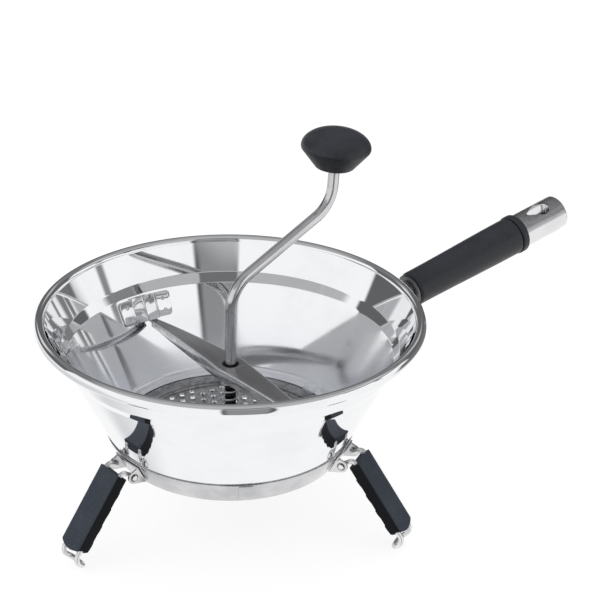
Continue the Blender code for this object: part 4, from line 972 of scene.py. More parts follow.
class Workshop:
    """Makes pieces, gives them their finish and mounts them on the mill's bodies."""

    def __init__(self) -> None:
        """Prepare the materials."""
        self.materials = {
            finish: made.build(finish.material_name) for finish, made in all_finishes().items()}
        self.count = 0

    def raw(self, name: str, bm: BMesh, place: Matrix) -> bpy.types.Object:
        """An object at the origin whose mesh holds its place.

        Args:
            name: Name of the piece.
            bm: Its shape in its own frame; it is freed.
            place: From that frame to the shared one.

        Returns:
            The object.
        """
        bmesh.ops.transform(bm, matrix=place, verts=bm.verts)
        return drawn(name, bm)

    def carve(
        self, piece: bpy.types.Object, tool: BMesh, place: Matrix, operation: str = "DIFFERENCE",
    ) -> None:
        """Cut a piece with a guide solid, or keep what they share."""
        cutter = self.raw("guide", tool, place)
        add_modifier(piece, "BOOLEAN", object=cutter, operation=operation, solver="EXACT")
        settle(piece)
        mesh = cutter.data
        bpy.data.objects.remove(cutter)
        bpy.data.meshes.remove(mesh)

    def mount(
        self, piece: bpy.types.Object, finish: Finish, body: Body, *nodes: str,
    ) -> bpy.types.Object:
        """Finish a piece and let it ride in place of its solids.

        Args:
            piece: The modelled piece.
            finish: Its finish.
            body: The body that carries it.
            nodes: The solids that it stands for.

        Returns:
            The same piece.
        """
        settle(piece)
        piece.data.materials.clear()
        piece.data.materials.append(self.materials[finish])
        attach(piece, body.value)
        if nodes:
            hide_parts(*nodes)
        self.count += 1
        LOG.info("%s: %d faces on %s", piece.name, len(piece.data.polygons), body.value)
        return piece

    def make(
        self, name: str, bm: BMesh, place: Matrix, finish: Finish, body: Body, *nodes: str,
    ) -> bpy.types.Object:
        """Mount a shape that needs no further work."""
        return self.mount(self.raw(name, bm, place), finish, body, *nodes)

    def refine(self, node: str, name: str, finish: Finish, body: Body, edge: float) -> bpy.types.Object:
        """A softened copy of a solid whose shape is right.

        Args:
            node: The solid.
            name: Name of the new piece.
            finish: Its finish.
            body: The body that carries it.
            edge: Width of its softened edges.

        Returns:
            The new piece.
        """
        bm = bmesh.new()
        bm.from_mesh(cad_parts[node].data)
        bmesh.ops.remove_doubles(bm, verts=bm.verts, dist=0.00001)
        bmesh.ops.dissolve_limit(
            bm, angle_limit=math.radians(0.5), verts=bm.verts, edges=bm.edges,
            use_dissolve_boundaries=False, delimit=set(),
        )
        piece = self.raw(name, bm, Matrix.Identity(4))
        ease(piece, edge, 3, math.radians(40.0))
        return self.mount(piece, finish, body, node)

    def keep(self, node: str, finish: Finish) -> None:
        """Give a solid that stays as it is its finish."""
        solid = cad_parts[node]
        solid.data.materials.clear()
        solid.data.materials.append(self.materials[finish])
        LOG.info("%s keeps its solid", node)


# Sub-assemblies


@dataclass
class Bowl:
    """Conical bowl with a rolled rim, its foot band and the two lugs on its ledge."""

    sheet: float = 0.0009
    rim_r: float = 0.12998
    roll: tuple[float, float] = (0.00355, 0.00425)
    throat: tuple[float, float] = (0.1132, 0.0235)
    ledge: tuple[float, float] = (0.08105, 0.0865)
    seat_r: float = 0.0750
    seat_depth: float = 0.0881
    opening_r: float = 0.0680
    lug_azimuth: float = math.radians(6.0)
    lug: tuple[float, float, float] = (0.0045, 0.0030, 0.0022)
    band_top: float = 0.0830
    band_bottom: float = 0.0995
    band_sheet: float = 0.0008
    band_gap: float = 0.00010
    band_angle: float = math.radians(28.1)
    seam_azimuth: float = math.radians(-119.0)
    seam_half: float = 0.0045
    seam_sheet: float = 0.0007

    def wall(self) -> BMesh:
        """Inner surface of the bowl, from the curled edge under the rim to the disc's seat."""
        centre = (self.rim_r - self.roll[0], -self.roll[1])
        curl = ellipse(centre, self.roll, -140.0, 172.0, 40)
        wall = rounded_profile([
            (*curl[-1], 0.0),
            (self.throat[0], -self.throat[1], 0.0050),
            (CONE_INNER_R, -CONE_TOP, 0.0050),
            (self.ledge[0], -self.ledge[1], 0.0050),
            (self.seat_r, -self.ledge[1], 0.0007),
            (self.seat_r, -self.seat_depth, 0.0003),
            (self.opening_r, -self.seat_depth, 0.0),
        ], math.radians(5.0))
        bm = turned(held(curl + wall[1:], 0.0003), FINE_TURN, closed=False)
        orient(bm, self.inward)
        return bm

    @staticmethod
    def inward(face: Face) -> float:
        """How much a face of the cone looks at the bowl's axis; the others don't count."""
        middle = face.calc_center_median()
        return -face.normal.dot(Vector((middle.x, middle.y, 0.0))) if middle.z < -CONE_TOP else 0.0

    def lug_block(self) -> BMesh:
        """One lug: a pressed block whose tooth stands in the disc's notch."""
        half, height, tooth = self.lug
        outline = [
            (self.ledge[0] + 0.0004, -self.ledge[1] - 0.0004),
            (self.seat_r - tooth, -self.seat_depth - 0.0004),
            (self.seat_r - tooth, height * 0.45 - self.ledge[1]),
            (self.seat_r - tooth * 0.4, height - self.ledge[1]),
            (self.ledge[0] - 0.0010, height - self.ledge[1]),
            (self.ledge[0] + 0.0008, height * 0.6 - self.ledge[1]),
        ]
        bm = upright(slab(outline, 2 * half))
        above = 0.0005 - self.ledge[1]
        tops = [edge for edge in bm.edges if min(vert.co.z for vert in edge.verts) > above]
        soften(bm, tops, 0.0009, 4)
        return bm

    def band_r(self, depth: float) -> float:
        """Outer radius of the foot band at a depth."""
        top = cone_r(self.band_top, CONE_OUTER_R)
        top += (self.band_gap + self.band_sheet) / math.cos(self.band_angle)
        return top - (depth - self.band_top) * math.tan(self.band_angle)

    def band(self) -> BMesh:
        """Foot band with its edges rounded."""
        wall = self.band_sheet / math.cos(self.band_angle)
        top, low = self.band_r(self.band_top), self.band_r(self.band_bottom)
        corners = [
            ((top + low) / 2, -(self.band_top + self.band_bottom) / 2, 0.0),
            (low, -self.band_bottom, 0.00025),
            (low - wall, -self.band_bottom, 0.00025),
            (top - wall, -self.band_top, 0.00025),
            (top, -self.band_top, 0.00030),
        ]
        return turned(looped(corners, math.radians(30.0)), FINE_TURN)

    def seam(self) -> BMesh:
        """Lapped strip of the band's seam."""
        low, high = self.band_bottom - 0.0008, self.band_top + 0.0008
        middle = (low + high) / 2
        mean = self.band_r(middle)
        rows = []
        for index in range(9):
            angle = self.seam_half * (2 * index / 8 - 1) / mean
            rows.append([polar(self.band_r(depth), angle, -depth) for depth in (high, middle, low)])
        bm = sheet_rows(rows)
        orient(bm, lambda face: face.normal.x)
        return bm

    def build(self, shop: Workshop) -> None:
        """Make the bowl, the lugs, the band and its seam."""
        bowl = shop.raw("bowl_shell", self.wall(), MILL.rim())
        thicken(bowl, self.sheet)
        shop.mount(bowl, Finish.BOWL, Body.MILL, "bowl")
        for index in range(2):
            turn = MILL.rim() @ Matrix.Rotation(self.lug_azimuth + math.pi * index, 4, "Z")
            shop.make(f"ledge_lug_{index + 1}", self.lug_block(), turn, Finish.BOWL, Body.MILL)
        shop.make("foot_band", self.band(), MILL.rim(), Finish.BAND, Body.MILL, "base_band")
        turn = MILL.rim() @ Matrix.Rotation(self.seam_azimuth, 4, "Z")
        seam = shop.raw("band_seam", self.seam(), turn)
        thicken(seam, self.seam_sheet, 0.6)
        ease(seam, 0.0002)
        shop.mount(seam, Finish.BAND, Body.MILL)


@dataclass
class Clips:
    """The two hat-section clips that hold the crossbar's hooks."""

    top: float = 0.0310
    low: float = 0.0470
    sheet: float = 0.0010
    stand: float = 0.0093
    half: float = 0.0200
    base_half: float = 0.00925
    face_half: float = 0.0045
    corner: float = 0.0028

    def columns(self) -> list[tuple[float, float, float]]:
        """Tangential place, stand from the wall and corner drop of each line of the clip."""
        rest = FIT + self.sheet / 2
        face = FIT + self.stand - self.sheet / 2
        side = []
        for index in range(7):
            angle = QUARTER * index / 6
            side.append((
                self.half - self.corner * (1 - math.cos(angle)), rest, self.corner * (1 - math.sin(angle))))
        bend = rounded([
            (Vector((self.half - self.corner, rest, 0.0)), 0.0),
            (Vector((self.base_half, rest, 0.0)), 0.0016),
            (Vector((self.face_half, face, 0.0)), 0.0016),
            (Vector((0.0, face, 0.0)), 0.0),
        ], math.radians(12.0))
        side += [(point.x, point.y, 0.0) for point in bend[1:]]
        return side + [(-place, stand, drop) for place, stand, drop in reversed(side[:-1])]

    def shape(self) -> BMesh:
        """Middle surface of a clip at azimuth zero."""
        rows = []
        for place, stand, drop in self.columns():
            row = []
            for share in (0.0, 0.5, 1.0):
                depth = self.top + drop + (self.low - self.top - 2 * drop) * share
                radius = cone_r(depth) - stand * math.cos(CONE_ANGLE)
                height = stand * math.sin(CONE_ANGLE) - depth
                flat = Vector((radius, place, height))
                bent = Matrix.Rotation(place / cone_r(self.low), 3, "Z") @ Vector((radius, 0.0, height))
                lift = min(1.0, max(0.0, (stand - 0.0008) / 0.0020))
                row.append(bent.lerp(flat, lift))
            rows.append(row)
        bm = sheet_rows(rows)
        bmesh.ops.recalc_face_normals(bm, faces=bm.faces)
        return bm

    def build(self, shop: Workshop) -> None:
        """Make both clips."""
        for index in range(2):
            turn = MILL.rim() @ Matrix.Rotation(QUARTER + math.pi * index, 4, "Z")
            clip = shop.raw(f"bar_clip_{index + 1}", self.shape(), turn)
            thicken(clip, self.sheet, 0.0)
            ease(clip, 0.00018)
            shop.mount(clip, Finish.CLIP, Body.MILL, f"crossbar_clip_{index + 1}")


@dataclass
class SieveDisc:
    """Perforated disc with a drawn rim and a raised burr round each hole."""

    seat_r: float = 0.0743
    dish_r: float = 0.0660
    flat_r: float = 0.0642
    top: float = 0.0870
    flat_depth: float = 0.0895
    sheet: float = 0.0008
    hole_r: float = 0.0021
    pitch: float = 0.0084
    field_r: float = 0.0590
    hub_r: float = 0.0110
    shaft_r: float = 0.0042
    hole_sides: int = 14
    burr: tuple[float, float] = (0.00085, 0.00075)

    def centres(self) -> list[Vector]:
        """Centres of the holes, on a triangular grid."""
        reach = math.ceil(self.field_r / self.pitch) + 2
        places = []
        for row in range(-reach, reach + 1):
            for column in range(-reach, reach + 1):
                along = self.pitch * (column + row / 2)
                place = Vector((along, self.pitch * row * math.sin(math.radians(60.0)), 0.0))
                if self.hub_r < place.length < self.field_r:
                    places.append(place)
        return places

    def plate(self) -> BMesh:
        """Flat sheet with its holes, filled between the circles and given its thickness."""
        bm = bmesh.new()
        bmesh.ops.create_circle(bm, cap_ends=False, segments=FINE_TURN, radius=self.flat_r)
        bmesh.ops.create_circle(bm, cap_ends=False, segments=32, radius=self.shaft_r)
        for place in self.centres():
            bmesh.ops.create_circle(
                bm, cap_ends=False, segments=self.hole_sides, radius=self.hole_r,
                matrix=Matrix.Translation(place))
        bmesh.ops.triangle_fill(bm, use_beauty=True, use_dissolve=False, edges=bm.edges)
        made = bmesh.ops.extrude_face_region(bm, geom=list(bm.faces))["geom"]
        bmesh.ops.translate(bm, verts=verts_of(made), vec=(0.0, 0.0, -self.sheet))
        bmesh.ops.recalc_face_normals(bm, faces=bm.faces)
        bmesh.ops.translate(bm, verts=bm.verts, vec=(0.0, 0.0, -self.flat_depth))
        return bm

    def burrs(self) -> BMesh:
        """Raised lips round the holes, as one shape."""
        width, rise = self.burr
        outer = self.hole_r + width
        profile = [
            (outer, -0.0001), (outer - width * 0.35, rise * 0.55), (self.hole_r + width * 0.25, rise),
            (self.hole_r, rise * 0.85), (self.hole_r - 0.00002, -0.0001),
        ]
        bm = turned(profile, self.hole_sides)
        first = list(bm.verts) + list(bm.edges) + list(bm.faces)
        centres = self.centres()
        for place in centres[1:]:
            made = bmesh.ops.duplicate(bm, geom=first)["geom"]
            bmesh.ops.translate(bm, verts=verts_of(made), vec=place)
        bmesh.ops.translate(bm, verts=verts_of(first), vec=centres[0])
        bmesh.ops.translate(bm, verts=bm.verts, vec=(0.0, 0.0, -self.flat_depth))
        return bm

    def rim(self) -> BMesh:
        """Drawn rim from the flat up to the seat."""
        return turned(looped([
            (self.flat_r, -self.flat_depth - self.sheet / 2, 0.0),
            (self.flat_r, -self.flat_depth, 0.0001),
            (self.dish_r, -self.top, 0.0007),
            (self.seat_r, -self.top, 0.0002),
            (self.seat_r, -self.top - self.sheet, 0.0002),
            (self.dish_r + self.sheet / 2, -self.top - self.sheet, 0.0007),
            (self.flat_r, -self.flat_depth - self.sheet, 0.0001),
        ], math.radians(20.0)), FINE_TURN)

    def build(self, shop: Workshop) -> None:
        """Make the plate, its burrs and its rim."""
        shop.make("sieve_plate", self.plate(), MILL.rim(), Finish.DISC, Body.MILL, "sieve_disc")
        shop.make("sieve_burrs", self.burrs(), MILL.rim(), Finish.DISC, Body.MILL)
        shop.make("sieve_rim", self.rim(), MILL.rim(), Finish.DISC, Body.MILL)


@dataclass
class Crossbar:
    """Folded crossbar with hooked ends and its bush."""

    depth: float = 0.0390
    end_depth: float = 0.043503
    sheet: float = 0.0011
    width: float = 0.0218
    end_width: float = 0.0068
    flange: float = 0.0085
    end_flange: float = 0.0032
    face_r: float = 0.0918722
    hook_reach: float = 0.0042
    hook_rise: float = 0.0038
    hole_r: float = 0.0058
    bore_r: float = 0.0044
    bend: float = 0.0009
    bush_lip: float = 0.0020
    bush_flange: float = 0.0012
    bush_sink: float = 0.0004
    stations: int = 40

    @property
    def end(self) -> float:
        """Where the folded bar ends and its hook starts."""
        return self.face_r - self.sheet - FIT

    def row(self, place: float) -> list[Vector]:
        """Section of the bar at a distance along it, from one flange over the top to the other."""
        share = min(abs(place) / self.face_r, 1.0)
        half = (self.width + (self.end_width - self.width) * share) / 2
        top = -self.depth - (self.end_depth - self.depth) * share * share
        low = top - self.end_flange - (self.flange - self.end_flange) * (1 - share * share)
        corners = [
            (Vector((-half, place, low)), 0.0), (Vector((-half, place, top)), self.bend),
            (Vector((half, place, top)), self.bend), (Vector((half, place, low)), 0.0),
        ]
        return rounded(corners, math.radians(18.0))

    def shell(self) -> BMesh:
        """Outer surface of the bar between its hooks."""
        shares = [2 * index / self.stations - 1 for index in range(self.stations + 1)]
        bm = sheet_rows([self.row(self.end * share) for share in shares])
        orient(bm, lambda face: face.normal.z)
        return bm

    def hook(self, sign: float) -> BMesh:
        """Tongue that runs under the clip's face and turns up behind it."""
        half = self.end_width / 2 - 0.0004
        lean = self.hook_rise * math.tan(CONE_ANGLE)
        path = rounded([
            (Vector((0.0, self.end - 0.0012, -self.end_depth - 0.00002)), 0.0),
            (Vector((0.0, self.face_r + self.hook_reach, -self.end_depth - 0.00002)), 0.0011),
            (Vector((0.0, self.face_r + self.hook_reach + lean, self.hook_rise - self.end_depth)), 0.0),
        ], math.radians(15.0))
        sides = (-half, 0.0, half)
        bm = sheet_rows([[Vector((side, sign * point.y, point.z)) for side in sides] for point in path])
        orient(bm, lambda face: face.normal.z - sign * face.normal.y)
        return bm

    def bush(self) -> BMesh:
        """Flanged bush in the bar's hole."""
        outer, lip = self.hole_r - FIT, self.hole_r + self.bush_lip
        shelf = -self.depth - self.sheet - FIT
        low, top = shelf - self.bush_flange, -self.depth - self.bush_sink
        return turned(looped([
            (outer, shelf / 2 - self.depth / 2, 0.0), (outer, shelf, 0.0), (lip, shelf, 0.0002),
            (lip, low, 0.0002), (self.bore_r, low, 0.0002), (self.bore_r, top, 0.0002),
            (outer, top, 0.0002),
        ]), SMALL_TURN)

    def build(self, shop: Workshop) -> None:
        """Make the bar, its hooks and its bush."""
        bar = shop.raw("press_bar", self.shell(), MILL.rim())
        thicken(bar, self.sheet)
        settle(bar)
        shop.carve(bar, drill(self.hole_r, -0.01, 0.01, SMALL_TURN), MILL.rim() @ Matrix.Translation(
            (0.0, 0.0, -self.depth)))
        ease(bar, 0.00015)
        shop.mount(bar, Finish.BAR, Body.BRIDGE, "crossbar")
        for index, sign in enumerate((1.0, -1.0), start=1):
            hook = shop.raw(f"bar_hook_{index}", self.hook(sign), MILL.rim())
            thicken(hook, self.sheet)
            ease(hook, 0.00015)
            shop.mount(hook, Finish.BAR, Body.BRIDGE)
        shop.make("bar_bush", self.bush(), MILL.rim(), Finish.BUSH, Body.BRIDGE, "crossbar_bush")


@dataclass
class Crank:
    """Bent rod with its knob, the blade on its hub, and the pressure spring."""

    rod_r: float = 0.0039
    foot_depth: float = 0.0945
    rise: float = 0.0167
    slope: float = math.radians(25.8)
    span: float = 0.0832
    tilt: float = math.radians(4.0)
    knob_rise: float = 0.0265
    knob_radii: tuple[float, float] = (0.0237, 0.0128)
    knob_rim: float = 0.0145
    knob_dome: float = 0.01283
    pin: float = 0.0140
    sieve_depth: float = 0.0895
    hub_r: float = 0.0072
    hub_height: float = 0.0120
    bore_r: float = 0.0042
    knob_bore: float = 0.0152
    washer_r: float = 0.0070
    washer_top: float = 0.0760
    washer_sheet: float = 0.0009
    blade_r: float = 0.0605
    blade_rise: float = 0.0170
    blade_lift: float = 0.0009
    blade_azimuth: float = math.radians(-90.0)
    blade_sweep: float = math.radians(84.0)
    blade_sheet: float = 0.0012
    lip: float = 0.0040
    spring_r: float = 0.0062
    wire_r: float = 0.00075
    curls: int = 5
    spring_low: float = 0.0757
    spring_high: float = 0.0419

    def corners(self) -> tuple[Vector, Vector, Vector, Vector]:
        """Shaft corner, post corner, knob base and direction of the post."""
        shaft = Vector((0.0, 0.0, self.rise))
        post_corner = shaft + Vector((self.span, 0.0, self.span * math.tan(self.slope)))
        post = Vector((math.sin(self.tilt), 0.0, math.cos(self.tilt)))
        return shaft, post_corner, post_corner + post * self.knob_rise, post

    def rod(self) -> BMesh:
        """The bent rod, with its lower end chamfered."""
        shaft, post_corner, base, post = self.corners()
        path = rounded([
            (Vector((0.0, 0.0, -self.foot_depth)), 0.0), (shaft, 0.0260), (post_corner, 0.0240),
            (base + post * self.pin, 0.0),
        ], math.radians(4.0))
        bm = swept(path, self.rod_r, 32)
        foot = 0.0001 - self.foot_depth
        low = [edge for edge in bm.edges if max(vert.co.z for vert in edge.verts) < foot]
        soften(bm, low, 0.0008, 3)
        return bm

    def knob(self) -> BMesh:
        """Knob: a cone that opens upwards to a rounded edge under a low dome."""
        widest, base = self.knob_radii
        rim = self.knob_rim
        dome = ellipse((0.0, rim), (widest, self.knob_dome), 90.0, 0.0, 26)
        cone = rounded_profile([
            (widest, rim, 0.0),
            (widest - 0.0003, rim - 0.0016, 0.0030),
            (base + 0.0004, 0.0006, 0.0012),
            (base - 0.0006, 0.0, 0.0),
        ], math.radians(12.0))
        bore = [(self.bore_r, 0.0), (self.bore_r, self.knob_bore), (0.0, self.knob_bore)]
        return turned(dome + cone[1:] + bore, HANDLE_TURN, closed=False)

    def hub(self) -> BMesh:
        """Hub of the blade."""
        low = -self.sieve_depth + FIT
        top = low + self.hub_height
        return turned(looped([
            (self.hub_r, (low + top) / 2, 0.0), (self.hub_r, low, 0.0003), (self.bore_r, low, 0.0002),
            (self.bore_r, top, 0.0002), (self.hub_r, top, 0.0012),
        ]), SMALL_TURN)

    def washer(self) -> BMesh:
        """Washer under the spring."""
        top, low = -self.washer_top, -self.washer_top - self.washer_sheet
        return turned(looped([
            (self.washer_r, top - self.washer_sheet / 2, 0.0), (self.washer_r, low, 0.0002),
            (self.bore_r, low, 0.0001), (self.bore_r, top, 0.0001), (self.washer_r, top, 0.0002),
        ]), SMALL_TURN)

    def blade(self) -> BMesh:
        """Underside of the half-moon blade, which climbs from its scraping edge to its lip."""
        inner = self.hub_r + FIT
        radii = [inner + (self.blade_r - inner) * index / 8 for index in range(9)]
        rows = []
        for index in range(49):
            share = index / 48
            angle = self.blade_sweep * (1 - 2 * share)
            height = self.blade_lift - self.sieve_depth + self.blade_rise * share
            rows.append([polar(radius, angle, height) for radius in radii])
        across = Vector((-math.sin(self.blade_sweep), -math.cos(self.blade_sweep), 0.0))
        for step in (0.4, 1.0):
            rows.append([point + across * (self.lip * step) for point in rows[48]])
        bm = sheet_rows(rows)
        orient(bm, lambda face: face.normal.z)
        return bm

    def spring(self) -> BMesh:
        """One coil with a straight end at each seat."""
        coil = self.spring_r - self.wire_r
        stub = 2 * self.wire_r
        low, high = -self.spring_low, -self.spring_high
        first = low + stub + self.wire_r
        climb = high - stub - self.wire_r - first
        per = 28
        count = self.curls * per
        path = [Vector((coil, 0.0, low)), Vector((coil, 0.0, low + stub * 0.6))]
        for index in range(2, count - 1):
            path.append(polar(coil, math.tau * index / per, first + climb * index / count))
        path += [Vector((coil, 0.0, high - stub * 0.6)), Vector((coil, 0.0, high))]
        return swept(path, self.wire_r, 12)

    def build(self, shop: Workshop) -> None:
        """Make the rod, the knob, the blade with its hub and washer, and the spring."""
        shop.make("crank_bent_rod", self.rod(), MILL.rim(), Finish.ROD, Body.CRANK, "crank_rod")
        base = self.corners()[2]
        place = MILL.rim() @ Matrix.Translation(base) @ Matrix.Rotation(self.tilt, 4, "Y")
        shop.make("turning_knob", self.knob(), place, Finish.KNOB, Body.KNOB, "crank_knob")
        shop.make("press_hub", self.hub(), MILL.rim(), Finish.BLADE, Body.CRANK, "blade_hub")
        shop.make("seat_washer", self.washer(), MILL.rim(), Finish.SPRING, Body.CRANK, "spring_washer")
        turn = MILL.rim() @ Matrix.Rotation(self.blade_azimuth, 4, "Z")
        blade = shop.raw("half_moon_blade", self.blade(), turn)
        thicken(blade, self.blade_sheet, 1.0)
        ease(blade, 0.0002)
        shop.mount(blade, Finish.BLADE, Body.CRANK, "press_blade")
        spring = shop.make(
            "coil_spring", self.spring(), MILL.rim(), Finish.SPRING, Body.CRANK, "pressure_spring")
        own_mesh(spring)


@dataclass
class Handle:
    """Grip with its rings and the steel end tube with the hanging eye."""

    length: float = 0.0990
    inner_r: float = 0.01265
    outer_r: float = 0.0140
    core_r: float = 0.0045
    ring_r: float = 0.0118
    ring: float = 0.0024
    collar_r: float = 0.01475
    collar: float = 0.0055
    tube_r: float = 0.0130
    tube_wall: float = 0.0012
    tube_length: float = 0.0430
    dome: float = 0.0035
    scarf: tuple[float, float] = (0.0220, 0.0080)
    eye: tuple[float, float, float, float] = (0.0237, 0.0206, 0.0067, 0.0017)
    eye_turn: float = math.radians(12.0)

    @property
    def tube_low(self) -> float:
        """Where the end tube starts, along the handle."""
        return self.length + self.collar + 2 * FIT

    def grip(self) -> BMesh:
        """Grip, thicker towards its outer end."""
        swell = self.outer_r - self.inner_r
        shares = [0.04 + 0.92 * index / 20 for index in range(21)]
        body = [
            (self.inner_r + swell * (1 - math.cos(math.pi * share)) / 2, self.length * share)
            for share in shares
        ]
        start = rounded_profile([
            (self.core_r, 0.0, 0.0), (self.inner_r, 0.0, 0.0022), (*body[0], 0.0),
        ])
        end = rounded_profile([
            (*body[-1], 0.0), (self.outer_r, self.length, 0.0011), (self.core_r, self.length, 0.0),
        ])
        return turned(start + body[1:-1] + end, HANDLE_TURN)

    def band(self, radius: float, low: float, length: float) -> BMesh:
        """Ring round the handle's core with rounded edges."""
        return turned(looped([
            (radius, low + length / 2, 0.0), (radius, low, 0.0010), (self.core_r, low, 0.0),
            (self.core_r, low + length, 0.0), (radius, low + length, 0.0010),
        ], math.radians(15.0)), HANDLE_TURN)

    def tube(self) -> BMesh:
        """End tube with its domed tip, hollow inside."""
        low = self.tube_low
        tip = low + self.tube_length - 0.00006
        inner = self.tube_r - self.tube_wall
        outer_dome = ellipse((0.0, tip - self.dome), (self.tube_r, self.dome), 90.0, 0.0, 16)
        inner_dome = ellipse((0.0, tip - self.dome), (inner, self.dome - self.tube_wall), 0.0, 90.0, 12)
        side = [
            (self.tube_r, low), (self.core_r, low), (self.core_r, low + self.tube_wall),
            (inner, low + self.tube_wall),
        ]
        return turned(outer_dome + side + inner_dome, 112, closed=False)

    def teardrop(self) -> BMesh:
        """Guide solid of the hanging eye, along the handle's X."""
        from_tip, length, wide, narrow = self.eye
        spread = length - wide - narrow
        lean = math.degrees(math.asin((wide - narrow) / spread))
        outline = ellipse((0.0, 0.0), (wide, wide), -90.0 - lean, 90.0 + lean, 40)
        outline += ellipse((-spread, 0.0), (narrow, narrow), 90.0 + lean, 270.0 - lean, 12)
        bm = slab(outline, 0.05)
        tip = self.tube_low + self.tube_length
        turn = Matrix(((0.0, 0.0, 1.0), (0.0, -1.0, 0.0), (1.0, 0.0, 0.0))).to_4x4()
        place = Matrix.Translation((0.0, 0.0, tip - from_tip + length / 2 - wide))
        bmesh.ops.transform(bm, matrix=place @ turn, verts=bm.verts)
        return bm

    def slant(self) -> BMesh:
        """Guide solid under the tube's slanting cut."""
        tip = self.tube_low + self.tube_length
        start = Vector((self.tube_r, tip - self.scarf[0]))
        run = Vector((-self.scarf[1], self.scarf[0]))
        low, high = start - run / 4, start + run * 1.25
        outline = [tuple(low), (2 * self.tube_r, low.y), (2 * self.tube_r, high.y), tuple(high)]
        return upright(slab(outline, 4 * self.tube_r))

    def build(self, shop: Workshop) -> None:
        """Make the grip, both rings and the tube; the bracket and the core follow their solids."""
        place = MILL.handle()
        shop.make("hand_grip", self.grip(), place, Finish.GRIP, Body.MILL, "handle_grip")
        ring = self.band(self.ring_r, -FIT - self.ring, self.ring)
        shop.make("grip_inner_ring", ring, place, Finish.RING, Body.MILL, "grip_collar_inner")
        collar = self.band(self.collar_r, self.length + FIT, self.collar)
        shop.make("grip_end_ring", collar, place, Finish.KNOB, Body.MILL, "grip_collar_outer")
        tube = shop.raw("end_tube", self.tube(), place)
        shop.carve(tube, self.teardrop(), place @ Matrix.Rotation(self.eye_turn, 4, "Z"))
        shop.carve(tube, self.slant(), place)
        ease(tube, 0.00025, 3, math.radians(45.0))
        shop.mount(tube, Finish.TUBE, Body.MILL, "handle_tube")
        shop.refine("handle_bracket", "handle_saddle", Finish.BRACKET, Body.MILL, 0.0003)
        shop.keep("handle_core", Finish.BRACKET)


